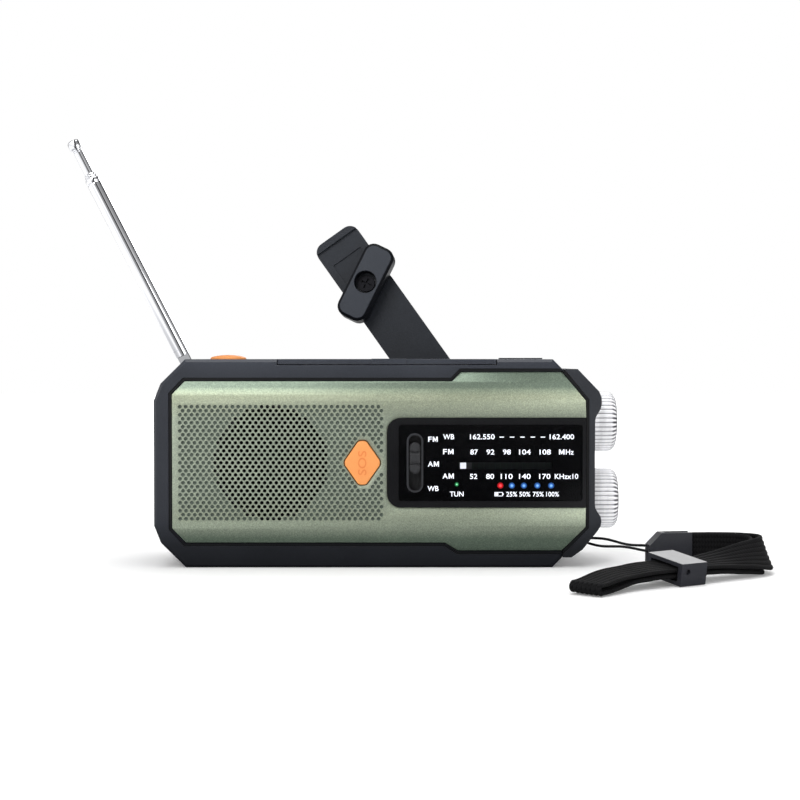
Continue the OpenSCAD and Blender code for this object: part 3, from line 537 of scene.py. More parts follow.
# material, then the CAD nodes that wear it
WEARERS = (
    (BLACK, "front_housing rear_housing solar_lid crank_hub battery_cover"),
    (BUMPER, "side_cap"),
    (PANEL, "front_panel"),
    (BEZEL, "window_bezel"),
    (DIAL, "dial_plate"),
    (WINDOW, "dial_window"),
    (POINTER, "tuning_pointer"),
    (SWITCH, "band_switch board_switches"),
    (LED_RED, "led_red"),
    (LED_BLUE, "led_blue"),
    (LED_GREEN, "led_green"),
    (ORANGE, "sos_button lamp_button"),
    (KNOB, "tuning_knob volume_knob"),
    (STEEL, "tuning_shaft volume_shaft lid_hinge_pin antenna_rivet crank_hinge_pin"),
    (STEEL, "usb_ports housing_screws"),
    (CONTROL, "tuning_capacitor volume_potentiometer"),
    (SOLAR, "solar_panel"),
    (DIFFUSER, "lamp_diffuser"),
    (CHROME, "antenna_base antenna_foot antenna_section_1 antenna_section_2"),
    (CHROME, "antenna_section_3 antenna_section_4"),
    (NYLON, "drive_gear idler_gear generator_pinion"),
    (ARM, "crank_arm"),
    (GRIP, "crank_grip"),
    (BLACKING, "grip_screw"),
    (PLATE, "generator_body gearbox_plate speaker_basket"),
    (PAPER, "speaker_cone"),
    (FERRITE, "speaker_magnet ferrite_rod"),
    (BOARD, "main_pcb"),
    (CELL, "battery_cell"),
    (COPPER, "ferrite_coil"),
    (MIRROR, "torch_reflector"),
    (PHOSPHOR, "torch_led"),
    (LENS, "torch_lens"),
    (RUBBER, "usb_flap"),
    (CORD, "strap_cord"),
    (WEBBING, "strap_webbing"),
    (BUCKLE, "strap_plate strap_slider"),
)


def dress_nodes():
    worn = {name: material for material, names in WEARERS for name in names.split()}
    for name, node in NODES.items():
        slots = node.data.materials
        if slots:
            for i in range(len(slots)):
                slots[i] = worn[name]
        else:
            slots.append(worn[name])


dress_nodes()


# ------------------------------------------------------------------ mesh helpers
def add_object(name, data):
    obj = bpy.data.objects.new(name, data)
    bpy.context.scene.collection.objects.link(obj)
    return obj


def mount(name, mesh, body, materials, smooth):
    """Smooths the mesh up to an angle in degrees and fixes it to a moving body."""
    mesh.shade_smooth()
    mesh.set_sharp_from_angle(angle=math.radians(smooth))
    obj = add_object(name, mesh)
    for material in materials:
        mesh.materials.append(material)
    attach(obj, body)
    return obj


def piece(name, verts, faces, body, material, smooth, uvs=None):
    mesh = bpy.data.meshes.new(name)
    mesh.from_pydata([tuple(v) for v in verts], [], faces)
    mesh.update()
    bm = bmesh.new()
    bm.from_mesh(mesh)
    bmesh.ops.recalc_face_normals(bm, faces=bm.faces)
    bm.to_mesh(mesh)
    bm.free()
    if uvs:
        layer = mesh.uv_layers.new(name="UVMap")
        for loop in mesh.loops:
            layer.data[loop.index].uv = uvs[loop.vertex_index]
    return mount(name, mesh, body, [material], smooth)


def band(first, second):
    """Quads between two closed rings of the same length."""
    count = len(first)
    return [(first[i], first[(i + 1) % count], second[(i + 1) % count], second[i])
            for i in range(count)]


def bands(rings):
    return [quad for pair in zip(rings, rings[1:]) for quad in band(*pair)]


def fan(ring, tip, flip=False):
    """Triangles from a closed ring to one point."""
    pairs = [(corner, ring[(i + 1) % len(ring)]) for i, corner in enumerate(ring)]
    return [(b, a, tip) if flip else (a, b, tip) for a, b in pairs]


def tube_faces(ring_count, ring_size, closed=False):
    """Skin of rings stored one after another: capped, or joined end to end if closed."""
    rings = [range(i * ring_size, (i + 1) * ring_size) for i in range(ring_count)]
    if closed:
        return bands(rings + rings[:1])
    return bands(rings) + [tuple(reversed(rings[0])), tuple(rings[-1])]


def lathe(profile, seg, placing):
    """Solid of revolution; profile is (radius, height), starting and ending on the axis."""
    verts, faces, rings = [], [], []
    for radius, height in profile:
        if radius == 0:
            rings.append([len(verts)])
            verts.append(placing @ Vector((0, 0, height)))
            continue
        rings.append(range(len(verts), len(verts) + seg))
        for i in range(seg):
            angle = 2 * pi * i / seg
            verts.append(placing @ Vector((radius * math.cos(angle),
                                           radius * math.sin(angle), height)))
    for low, high in zip(rings, rings[1:]):
        for i in range(seg):
            j = (i + 1) % seg
            if len(low) == 1:
                faces.append((low[0], high[i], high[j]))
            elif len(high) == 1:
                faces.append((low[i], high[0], low[j]))
            else:
                faces.append((low[i], high[i], high[j], low[j]))
    return verts, faces


# ------------------------------------------------------------------ flat geometry (X, Z in mm)
def inset_polygon(points, inset):
    """Moves each side of an anticlockwise polygon inwards."""
    moved = []
    for i, point in enumerate(points):
        corner = Vector(point)
        before = (corner - Vector(points[i - 1])).normalized()
        after = (Vector(points[(i + 1) % len(points)]) - corner).normalized()
        normal_a = Vector((-before[1], before[0]))
        normal_b = Vector((-after[1], after[0]))
        moved.append(corner + inset * (normal_a + normal_b) / (1 + normal_a.dot(normal_b)))
    return moved


def in_polygon(x, z, polygon):
    inside = False
    for i, (x2, z2) in enumerate(polygon):
        x1, z1 = polygon[i - 1]
        if (z1 > z) != (z2 > z) and x < (x2 - x1) * (z - z1) / (z2 - z1) + x1:
            inside = not inside
    return inside


def middle(points):
    return (sum(p[0] for p in points) / len(points), sum(p[1] for p in points) / len(points))


def signed_area_doubled(points):
    """Positive for an anticlockwise outline."""
    return sum(points[i - 1].x * points[i].y - points[i].x * points[i - 1].y
               for i in range(len(points)))


BUCKET = 2      # mm, side of the squares that speed up the search for a near point


def bucketed(points):
    buckets = {}
    for x, z in points:
        buckets.setdefault((int(x // BUCKET), int(z // BUCKET)), []).append((x, z))
    return buckets


def near_any(buckets, x, z, reach_squared):
    for i in (-1, 0, 1):
        for j in (-1, 0, 1):
            key = (int(x // BUCKET) + i, int(z // BUCKET) + j)
            for near_x, near_z in buckets.get(key, ()):
                if (x - near_x) ** 2 + (z - near_z) ** 2 < reach_squared:
                    return True
    return False


# ------------------------------------------------------------------ front panel (mm)
# opening of the housing as (x, z), anticlockwise seen from the front
OPENING = [(-66, 8.3), (24.3, 8.3), (28.8, 5.5), (65.2, 5.5), (73.6, 14), (73.6, 58.2),
           (65.2, 68.4), (29.8, 68.4), (26.7, 65.2), (-66.3, 65.2), (-70.9, 60.4),
           (-70.9, 13.5)]
PANEL_GAP = 0.42                            # between the opening and the panel
WINDOW_LEFT, WINDOW_RIGHT = 4.1, 73.35      # notch for the dial window
WINDOW_BOTTOM, WINDOW_TOP = 20.8, 52.25
WINDOW_CORNER = 4.9
PANEL_BACK = FRONT_MM + 2.05
SOS_X, SOS_Z = -4.4, 36.5
SPEAKER_X, SPEAKER_Z, SPEAKER_RADIUS = -36.2, 36.5, 20.0
DOT_SEG = 12
DOT_ROWS, DOT_COLUMNS, DOT_PITCH = 29, 35, 2.03
DOT_LEFT, DOT_BOTTOM, DOT_SPAN = -67.8, 17.0, 39.0
HOLE_RADIUS, DIMPLE_RADIUS = 0.68, 0.70
# wall rings of a dot: (share of the rim radius, depth behind the panel surface)
HOLE_STEPS = [(0.93, 0.05), (0.89, 0.16)]
DIMPLE_STEPS = [(0.94, 0.05), (0.88, 0.2), (0.80, 0.55), (0.45, 0.8)]
DIMPLE_DEPTH = 0.85
# rounded lip of the other edges: (outward offset, depth)
LIP_STEPS = ((0.05, 0.03), (0.10, 0.10), (0.12, 0.2))
# heights where the rolled bottom and top of the panel are cut into strips
STRIP_LEVELS = (5.9, 6.6, 7.4, 8.6, 9.4, 10.3, 11.2, 12.1, 13.0, 13.9, 14.7, 15.4,
                57.8, 58.6, 59.5, 60.5, 61.5, 62.4, 63.3, 64.1, 64.9, 65.6, 66.4, 67.2, 67.9)
# slot 1 is a darker green as painted shade inside the dots; slot 2 is black plastic as painted
# shade on the walls, and on the unseen back
PAINTED, SHADED_RECESS, BLACK_SHADE = 0, 1, 2          # material slots of the panel


def sos_outline(grow, count=56):
    """Rounded diamond of the alarm button, grown all round, as (x, z)."""
    width, height, radius = 12.3, 15.3, 1.6
    corners = [Vector((a * (width / 2 - radius), b * 0.25)) for a in (-1, 1) for b in (-1, 1)]
    corners += [Vector((a * 0.52, b * (height / 2 - radius)))
                for a in (-1, 1) for b in (-1, 1)]
    outline = []
    for k in range(count):
        angle = 2 * pi * (k + 0.5) / count
        ray = Vector((math.cos(angle), math.sin(angle)))
        corner = max(corners, key=lambda point: point.dot(ray))
        outline.append(Vector((SOS_X, SOS_Z)) + corner + ray * (radius + grow))
    return outline


def panel_y(z):
    """Crown of the panel: flat in the middle, rolling back at the top and bottom edges."""
    y = FRONT_MM + 0.30
    if z > 59:
        rise = z - 59
        y += 0.165 * rise * rise / 6.4 if rise < 3.2 else 0.165 * (rise - 1.6)
    if z < 13.6:
        drop = 13.6 - z
        y += 0.165 * drop * drop / 6.0 if drop < 3.0 else 0.165 * (drop - 1.5)
    return y


def panel_outline():
    """Inset opening with the dial window cut in from the +X side."""
    outline = inset_polygon(OPENING, PANEL_GAP)
    corner = WINDOW_CORNER
    low, high = WINDOW_BOTTOM + corner, WINDOW_TOP - corner
    centre_x = WINDOW_LEFT + corner
    steps = [k * pi / 16 for k in range(1, 8)]
    notch = [(WINDOW_RIGHT, WINDOW_BOTTOM), (centre_x, WINDOW_BOTTOM)]
    notch += [(centre_x - corner * math.sin(a), low - corner * math.cos(a)) for a in steps]
    notch += [(WINDOW_LEFT, low), (WINDOW_LEFT, high)]
    notch += [(centre_x - corner * math.cos(a), high + corner * math.sin(a)) for a in steps]
    notch += [(centre_x, WINDOW_TOP), (WINDOW_RIGHT, WINDOW_TOP)]
    return outline[:5] + notch + outline[5:]


def over_speaker(x, z):
    """Dots over the speaker go right through; the others are dimples."""
    return math.hypot(x - SPEAKER_X, z - SPEAKER_Z) < SPEAKER_RADIUS


def panel_dots():
    """Staggered grid that leaves the alarm button free."""
    dots = []
    for row in range(DOT_ROWS):
        z = DOT_BOTTOM + row * DOT_SPAN / (DOT_ROWS - 1)
        for col in range(DOT_COLUMNS):
            x = DOT_LEFT + col * DOT_PITCH + (DOT_PITCH / 2 if row % 2 else 0)
            side, rise = abs(x - SOS_X), abs(z - SOS_Z)
            if 0.822 * side + 0.569 * rise < 6.75 and side < 7.3 and rise < 8.8:
                continue
            dots.append((x, z))
    return dots


def add_loop(verts, edges, points):
    start, count = len(verts), len(points)
    verts.extend(Vector(p) for p in points)
    edges.extend((start + i, start + (i + 1) % count) for i in range(count))


def add_panel_front(bm):
    outline = panel_outline()
    hole = [tuple(v) for v in sos_outline(0.38)]
    dots = panel_dots()
    verts, edges = [], []
    add_loop(verts, edges, outline)
    add_loop(verts, edges, hole)
    for x, z in dots:
        radius = HOLE_RADIUS if over_speaker(x, z) else DIMPLE_RADIUS
        angles = [2 * pi * k / DOT_SEG for k in range(DOT_SEG)]
        add_loop(verts, edges, [(x + radius * math.cos(a), z + radius * math.sin(a))
                                for a in angles])
    for z in STRIP_LEVELS:
        edges.append((len(verts), len(verts) + 1))
        verts.extend([Vector((-71.5, z)), Vector((74, z))])
    points, _, triangles = geometry.delaunay_2d_cdt(verts, edges, [], 0, 1e-5)[:3]
    buckets = bucketed(dots)
    made = {}
    for triangle in triangles:
        x, z = middle([points[i] for i in triangle])
        if (not in_polygon(x, z, outline) or in_polygon(x, z, hole)
                or near_any(buckets, x, z, 0.424)):
            continue
        for i in triangle:
            if i not in made:
                px, pz = points[i]
                made[i] = bm.verts.new((px, panel_y(pz), pz))
        # a repeated or collapsed triangle is left out
        try:
            bm.faces.new([made[i] for i in triangle])
        except ValueError:
            pass


def open_rims(bm):
    """Closed rings of vertices along the open edges."""
    rims, seen = [], set()
    for edge in list(bm.edges):
        if len(edge.link_faces) != 1 or edge in seen:
            continue
        start, vert = edge.verts
        rim = [start, vert]
        seen.add(edge)
        while vert != start:
            onward = next(e for e in vert.link_edges
                          if len(e.link_faces) == 1 and e not in seen)
            seen.add(onward)
            vert = onward.other_vert(vert)
            if vert != start:
                rim.append(vert)
        rims.append(rim)
    return rims


def add_faces(bm, faces, material_index):
    for face in faces:
        bm.faces.new(face).material_index = material_index


def wall_to_back(bm, ring):
    # the walls take black plastic as painted shade
    back = [bm.verts.new((v.co.x, PANEL_BACK, v.co.z)) for v in ring]
    add_faces(bm, band(ring, back), BLACK_SHADE)
    return back


def add_dot_wall(bm, rim, centre):
    """Wall of a hole, returning its back ring, or of a dimple, returning None."""
    through = over_speaker(centre.x, centre.z)
    ring = rim
    for share, depth in HOLE_STEPS if through else DIMPLE_STEPS:
        inner = [bm.verts.new((centre.x + (v.co.x - centre.x) * share,
                               panel_y(centre.z) + depth,
                               centre.z + (v.co.z - centre.z) * share)) for v in rim]
        # rings deeper than 0.1 mm take the darker green of painted shade
        add_faces(bm, band(ring, inner), PAINTED if depth < 0.1 else SHADED_RECESS)
        ring = inner
    if through:
        return wall_to_back(bm, ring)
    tip = bm.verts.new((centre.x, panel_y(centre.z) + DIMPLE_DEPTH, centre.z))
    add_faces(bm, fan(ring, tip), SHADED_RECESS)
    return None


def add_edge_wall(bm, rim):
    """Rounded lip and wall of the outer edge or the button hole; returns the back ring."""
    count = len(rim)
    flat = [Vector((v.co.x, v.co.z)) for v in rim]
    area = signed_area_doubled(flat)
    side = 1 if area > 0 else -1
    if abs(area) <= 2000:       # the button hole: its wall leans into the hole
        side = -side
    normals = []
    for i in range(count):
        before = (flat[i] - flat[i - 1]).normalized()
        after = (flat[(i + 1) % count] - flat[i]).normalized()
        tangent = before + after
        tangent = tangent.normalized() if tangent.length > 1e-6 else before
        normals.append(Vector((tangent.y, -tangent.x)) * side)
    ring = rim
    for offset, depth in LIP_STEPS:
        outer = [bm.verts.new((v.co.x + normal.x * offset, v.co.y + depth,
                               v.co.z + normal.y * offset))
                 for v, normal in zip(rim, normals)]
        add_faces(bm, band(ring, outer), PAINTED)
        ring = outer
    return wall_to_back(bm, ring)


def add_panel_back(bm, back_rings):
    verts, edges, owners = [], [], []
    for ring in back_rings:
        add_loop(verts, edges, [(v.co.x, v.co.z) for v in ring])
        owners.extend(ring)
    result = geometry.delaunay_2d_cdt(verts, edges, [], 0, 1e-6)
    points, triangles, sources = result[0], result[2], result[3]
    outer = max(back_rings, key=len)
    outline = [(v.co.x, v.co.z) for v in outer]
    openings = [[(v.co.x, v.co.z) for v in ring] for ring in back_rings if ring is not outer]
    buckets = bucketed([middle(o) for o in openings if len(o) == DOT_SEG])
    openings = [o for o in openings if len(o) != DOT_SEG]
    for triangle in triangles:
        x, z = middle([points[i] for i in triangle])
        if (not in_polygon(x, z, outline) or any(in_polygon(x, z, o) for o in openings)
                or near_any(buckets, x, z, 0.23)):
            continue
        # left out if it repeats, collapses, or uses a point that is not a ring vertex
        try:
            bm.faces.new([owners[sources[i][0]] for i in triangle]).material_index = BLACK_SHADE
        except (ValueError, IndexError):
            pass


def build_panel():
    bm = bmesh.new()
    add_panel_front(bm)
    back_rings = []
    for rim in open_rims(bm):
        centre = sum((v.co for v in rim), Vector()) / len(rim)
        if len(rim) == DOT_SEG and max((v.co - centre).length for v in rim) < 0.8:
            back = add_dot_wall(bm, rim, centre)
        else:
            back = add_edge_wall(bm, rim)
        if back:
            back_rings.append(back)
    add_panel_back(bm, back_rings)
    for v in bm.verts:
        v.co *= MM
    bmesh.ops.recalc_face_normals(bm, faces=bm.faces)
    mesh = bpy.data.meshes.new("front_panel_perforated")
    bm.to_mesh(mesh)
    bm.free()
    panel = mount("front_panel_perforated", mesh, "chassis",
                  [PANEL, RECESS_SHADE_GREEN, BLACK], smooth=38)
    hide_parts("front_panel")


build_panel()

# ------------------------------------------------------------------ lettering and dial marks (mm)
GLYPH_HALF = 0.02       # half thickness of an unscaled glyph


def letter_m():
    """Capital M of one unit height, drawn as an outline."""
    outline = [(0, 0), (0.17, 0), (0.17, 0.62), (0.40, 0.06), (0.46, 0.06), (0.69, 0.62),
               (0.69, 0), (0.86, 0), (0.86, 1), (0.66, 1), (0.43, 0.42), (0.20, 1), (0, 1)]
    triangles = geometry.tessellate_polygon([[Vector((x, y, 0)) for x, y in outline]])
    count = len(outline)
    verts = [(x, y, depth) for depth in (-GLYPH_HALF, GLYPH_HALF) for x, y in outline]
    faces = [tuple(t) for t in triangles]
    faces += [tuple(count + i for i in reversed(t)) for t in triangles]
    faces += [(i, (i + 1) % count, count + (i + 1) % count, count + i) for i in range(count)]
    mesh = bpy.data.meshes.new("m")
    mesh.from_pydata(verts, [], faces)
    return mesh


def text_mesh(text, embolden):
    curve = bpy.data.curves.new("t", "FONT")
    curve.body = text
    curve.size = 1.0
    curve.extrude = GLYPH_HALF
    curve.offset = embolden
    curve.resolution_u = 4
    obj = add_object("t", curve)
    bpy.context.view_layer.update()
    evaluated = obj.evaluated_get(bpy.context.evaluated_depsgraph_get())
    mesh = bpy.data.meshes.new_from_object(evaluated)
    bpy.data.objects.remove(obj)
    return mesh


def build_lettering(name, items, body, material, y, depth, embolden, turn=0.0):
    """Raised text facing the front; items are (text, middle x, middle z, height, width)."""
    verts, faces = [], []
    cos_turn, sin_turn = math.cos(turn), math.sin(turn)
    for text, x, z, height, width in items:
        mesh = letter_m() if text == "M" else text_mesh(text, embolden)
        xs = [v.co.x for v in mesh.vertices]
        ys = [v.co.y for v in mesh.vertices]
        scale_z = height / (max(ys) - min(ys))
        scale_x = width / (max(xs) - min(xs))
        middle_x, middle_y = (max(xs) + min(xs)) / 2, (max(ys) + min(ys)) / 2
        start = len(verts)
        for v in mesh.vertices:
            right, up = (v.co.x - middle_x) * scale_x, (v.co.y - middle_y) * scale_z
            verts.append(((x + (right * cos_turn - up * sin_turn)) * MM,
                          (y - v.co.z / GLYPH_HALF * depth / 2) * MM,
                          (z + (right * sin_turn + up * cos_turn)) * MM))
        faces += [tuple(start + i for i in p.vertices) for p in mesh.polygons]
        bpy.data.meshes.remove(mesh)
    return piece(name, verts, faces, body, material, smooth=30)


PRINT_Y = FRONT_MM + 1.2
PRINT_DEPTH = 0.05
# rows of dial print: middle height, cap height, then (text, left, right)
DIAL_ROWS = (
    (45.51, 1.80, (("WB", 23.72, 27.55), ("162.550", 33.07, 41.67), ("162.400", 60.79, 69.29))),
    (40.31, 1.80, (("FM", 23.72, 27.33),)),
    (40.20, 1.80, (("87", 33.18, 35.83), ("92", 38.81, 41.57), ("98", 44.54, 47.30),
                   ("104", 50.17, 54.21), ("108", 57.29, 61.22), ("MHz", 64.09, 69.19))),
    (31.81, 1.80, (("AM", 23.51, 27.44),)),
    (31.70, 1.80, (("52", 33.07, 35.62), ("80", 38.70, 41.46), ("110", 43.80, 47.94),
                   ("140", 50.17, 54.21), ("170", 57.18, 61.11), ("KHzx10", 62.60, 70.78))),
    (44.66, 1.80, (("FM", 18.52, 21.81),)),
    (36.01, 1.80, (("AM", 18.41, 22.24),)),
    (27.46, 1.80, (("WB", 18.31, 22.13),)),
    (25.54, 1.75, (("TUN", 26.06, 30.84),)),
    (25.49, 1.70, (("25%", 45.71, 49.53), ("50%", 50.28, 54.10), ("75%", 54.95, 58.78),
                   ("100%", 59.63, 64.09))),
)
# words with an M are set in parts: (part, left share, right share of the word)
SPLIT_WORDS = {
    "FM": (("F", 0.0, 0.37), ("M", 0.48, 1.0)),
    "AM": (("A", 0.0, 0.47), ("M", 0.54, 1.0)),
    "MHz": (("M", 0.0, 0.37), ("Hz", 0.46, 1.0)),
}


def build_dial_lettering():
    items = []
    for z, height, words in DIAL_ROWS:
        for word, left, right in words:
            for part, start, end in SPLIT_WORDS.get(word, ((word, 0.0, 1.0),)):
                items.append((part, left + (right - left) * (start + end) / 2, z, height,
                              (right - left) * (end - start)))
    build_lettering("dial_lettering", items, "chassis", PRINT,
                    y=PRINT_Y, depth=PRINT_DEPTH, embolden=0.009)


def build_dial_rules():
    """Printed bars with clipped corners: a row of dashes and a battery-shaped mark."""
    dash_z = 45.41
    bars = [(x - 0.78, x + 0.78, dash_z - 0.15, dash_z + 0.15)
            for x in (44.12, 47.73, 51.34, 54.95, 58.46)]
    x, z = 43.06, 25.49
    half_width, half_height, line = 1.45, 0.72, 0.2
    left, right = x - half_width, x + half_width
    low, high = z - half_height, z + half_height
    bars += [
        (left, right, high - line, high),
        (left, right, low, low + line),
        (left, left + line, low + line, high - line),
        (right - line, right, low + line, high - line),
        (right + 0.02, right + 0.32, z - 0.3, z + 0.3),
        (left + line + 0.1, x - 0.1, low + line + 0.1, high - line - 0.1),
    ]
    verts, faces = [], []
    for x0, x1, z0, z1 in bars:
        clip = min(x1 - x0, z1 - z0) * 0.22
        outline = [(x0 + clip, z0), (x1 - clip, z0), (x1, z0 + clip), (x1, z1 - clip),
                   (x1 - clip, z1), (x0 + clip, z1), (x0, z1 - clip), (x0, z0 + clip)]
        start = len(verts)
        for y in (PRINT_Y - PRINT_DEPTH / 2, PRINT_Y + PRINT_DEPTH / 2):
            verts += [(px * MM, y * MM, pz * MM) for px, pz in outline]
        faces.append(tuple(start + i for i in range(8)))
        faces.append(tuple(start + 15 - i for i in range(8)))
        for i in range(8):
            j = (i + 1) % 8
            faces.append((start + i, start + 8 + i, start + 8 + j, start + j))
    piece("dial_rules", verts, faces, "chassis", PRINT, smooth=30)


build_dial_lettering()
build_dial_rules()


# ------------------------------------------------------------------ alarm button (mm)
def build_sos_button():
    """Diamond with a rounded front edge and a slightly dished front."""
    outline = sos_outline(-0.03)
    count = len(outline)
    front, back = FRONT_MM - 0.62, FRONT_MM + 5.0
    edge_radius, edge_seg, dish = 0.55, 5, 0.12
    centre = sum(outline, Vector((0, 0))) / count
    normals = []
    for i in range(count):
        before = (outline[i] - outline[i - 1]).normalized()
        after = (outline[(i + 1) % count] - outline[i]).normalized()
        tangent = (before + after).normalized()
        normals.append(Vector((tangent.y, -tangent.x)))
    # rings of the side and rounded edge: (outward offset, y)
    steps = [(-0.15, back), (0, back - 0.15)]
    for k in range(edge_seg + 1):
        angle = k / edge_seg * pi / 2
        steps.append((-edge_radius * (1 - math.cos(angle)),
                      front + edge_radius - edge_radius * math.sin(angle)))
    verts = []
    for offset, y in steps:
        ring = [(p.x + normal.x * offset, p.y + normal.y * offset)
                for p, normal in zip(outline, normals)]
        verts += [(x * MM, y * MM, z * MM) for x, z in ring]
    rim = [Vector(point) for point in ring]
    for share in (0.85, 0.6, 0.35, 0.15):
        y = front - dish * (1 - share * share)
        for point in rim:
            inner = centre + (point - centre) * share
            verts.append((inner.x * MM, y * MM, inner.y * MM))
    rings = [range(i, i + count) for i in range(0, len(verts), count)]
    tip = len(verts)
    verts += [(centre.x * MM, y * MM, centre.y * MM) for y in (front - dish, back)]
    faces = bands(rings) + fan(rings[-1], tip) + fan(rings[0], tip + 1, flip=True)
    button = piece("sos_button_cap", verts, faces, "sos_button", ORANGE, smooth=40)
    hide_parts("sos_button")
    # the word reads upwards; its darker orange is painted shade for the embossing
    build_lettering("sos_emboss", [("SOS", SOS_X, SOS_Z, 2.9, 8.4)], "sos_button", EMBOSS_SHADE,
                    y=FRONT_MM - 0.70, depth=0.30, embolden=0.004, turn=pi / 2)


build_sos_button()

# ------------------------------------------------------------------ knobs (mm)
KNOB_RADIUS = 10.75
KNOB_RIBS, RIB_SEG = 40, 8
RIB_DEPTH = 0.66


def build_knob(node, body):
    """Ribbed barrel along X with scallops round its +X end."""
    low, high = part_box(node)
    centre_z = (low[2] + high[2]) / 2 / MM
    x0, x1 = low[0] / MM, high[0] / MM
    radius, length = KNOB_RADIUS, x1 - x0
    # radius, x, share of the rib depth
    profile = [(6.0, x0 + 0.02, 0), (radius - 0.9, x0 + 0.02, 0.0),
               (radius - 0.25, x0 + 0.35, 0.6), (radius, x0 + 0.8, 1.0)]
    profile += [(radius, x0 + length * share, 1.0) for share in (0.2, 0.4, 0.6)]
    profile += [(radius - 0.02, x1 - 2.2, 1.0), (radius - 0.3, x1 - 1.5, 1.25),
                (radius - 0.85, x1 - 0.8, 1.35), (radius - 1.5, x1 - 0.3, 1.0),
                (radius - 2.0, x1 - 0.08, 0.45), (radius - 2.35, x1, 0.05),
                (radius - 2.8, x1, 0), (radius - 3.0, x1 - 0.12, 0),
                (radius - 3.2, x1 - 0.38, 0), (5.0, x1 - 0.42, 0), (2.4, x1 - 0.44, 0)]
    seg = KNOB_RIBS * RIB_SEG
    verts, rings, crown, rounded_end = [], [], [], []
    for ring_radius, x, share in profile:
        rings.append(range(len(verts), len(verts) + seg))
        for i in range(seg):
            angle = 2 * pi * i / seg
            rib = abs(math.sin(i % RIB_SEG / RIB_SEG * pi)) ** 0.7
            reach = ring_radius - RIB_DEPTH * share * (1 - rib)
            crown.append(1 - (1 - rib) * min(1, share))
            rounded_end.append(1.0 if x > x1 - 1.8 and share > 0.1 else 0.0)
            verts.append((x * MM, reach * math.cos(angle) * MM,
                          (centre_z + reach * math.sin(angle)) * MM))
    tip = len(verts)
    verts += [((x1 - 0.44) * MM, 0, centre_z * MM), ((x0 + 0.02) * MM, 0, centre_z * MM)]
    crown += [1.0, 1.0]
    rounded_end += [0.0, 0.0]
    faces = bands(rings) + fan(rings[-1], tip) + fan(rings[0], tip + 1, flip=True)
    knob = piece(node + "_ribbed", verts, faces, body, KNOB, smooth=26)
    for name, values in (("crown", crown), ("rounded_end", rounded_end)):
        attribute = knob.data.attributes.new(name, "FLOAT", "POINT")
        attribute.data.foreach_set("value", values)
    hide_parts(node)


build_knob("tuning_knob", "tuning_control")
build_knob("volume_knob", "volume_control")

# ------------------------------------------------------------------ aerial (mm)
AERIAL_LEAN = math.radians(27.1)
AERIAL_PIVOT = Vector((-70, 16.1, 70))
AERIAL_PLACING = (Matrix.Scale(MM, 4) @ Matrix.Translation(AERIAL_PIVOT)
                  @ Matrix.Rotation(-AERIAL_LEAN, 4, "Y"))
# node, body, outer radius, start and end along the aerial, length of the crimped mouth
AERIAL_TUBES = (
    ("antenna_section_1", "antenna_mast", 2.65, 6.65, 78.0, 2.2),
    ("antenna_section_2", "antenna_mast_2", 2.35, 10, 78.9, 0.8),
    ("antenna_section_3", "antenna_mast_3", 2.05, 11, 79.8, 0.8),
)
# radius, distance along the aerial
AERIAL_TIP = [(0, 12), (1.63, 12), (1.75, 12.2), (1.75, 88.6), (1.55, 88.9), (1.55, 89.3),
              (1.85, 89.5), (1.9, 89.9), (2.2, 90.05), (2.36, 90.4), (2.38, 91.2),
              (2.36, 92.3), (2.2, 92.9), (1.75, 93.32), (1.0, 93.5), (0, 93.52)]


def tube_profile(radius, start, end, crimp):
    groove = end - crimp
    return [(0, start), (radius - 0.12, start), (radius, start + 0.12),
            (radius, groove - 0.5), (radius - 0.02, groove - 0.3),
            (radius - 0.10, groove - 0.1), (radius - 0.10, groove + 0.05),
            (radius, groove + 0.25), (radius, end - 0.55), (radius - 0.1, end - 0.3),
            (radius - 0.28, end - 0.06), (radius - 0.34, end), (0, end)]


def build_aerial_section(node, suffix, body, profile):
    verts, faces = lathe(profile, 48, AERIAL_PLACING)
    section = piece(node + suffix, verts, faces, body, CHROME, smooth=28)
    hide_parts(node)


for node, body, radius, start, end, crimp in AERIAL_TUBES:
    build_aerial_section(node, "_tube", body, tube_profile(radius, start, end, crimp))
build_aerial_section("antenna_section_4", "_tip", "antenna_mast_4", AERIAL_TIP)

# ------------------------------------------------------------------ lamp button (mm)
# radius, z
LAMP_BUTTON = [(0, 68.9), (7.2, 68.9), (7.2, 70.1), (6.35, 70.1), (6.35, 72.7), (6.25, 72.98),
               (6.0, 73.22), (5.2, 73.45), (4.0, 73.68), (2.6, 73.86), (1.2, 73.97), (0, 74.0)]


def build_lamp_button():
    placing = Matrix.Scale(MM, 4) @ Matrix.Translation(Vector((-52.4, -8.5, 0)))
    verts, faces = lathe(LAMP_BUTTON, 64, placing)
    button = piece("lamp_button_dome", verts, faces, "lamp_button", ORANGE,
                   smooth=40)
    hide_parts("lamp_button")


build_lamp_button()

# ------------------------------------------------------------------ wrist strap (mm)
SLIDER = Vector((98.3, -61, 4.87))
SLIDER_ALONG = Vector((0.835, 0.55, 0)).normalized()
CLIP_ANGLE = math.radians(9.1)
CLIP = Vector((94, -28.7, 0))
CLIP_ALONG = Vector((math.cos(CLIP_ANGLE), math.sin(CLIP_ANGLE), 0))
HELD_GAP = 0.95         # half the distance between the two layers where they are held
WEBBING_WIDTH = 12.0
WEBBING_RIBS = 7
ACROSS_STEPS = 56
ALONG_STEPS = 14        # between two stations
FOLD_STEPS = 14
PICK_LENGTH = 1.1       # length of webbing for one unit of U


def on_slider(distance):
    x, y, z = SLIDER + SLIDER_ALONG * distance
    return (x, y, z, 8.0, HELD_GAP)


def on_clip(distance):
    place = CLIP + CLIP_ALONG * distance
    return (place.x, place.y, 6.6, 90.0, HELD_GAP)


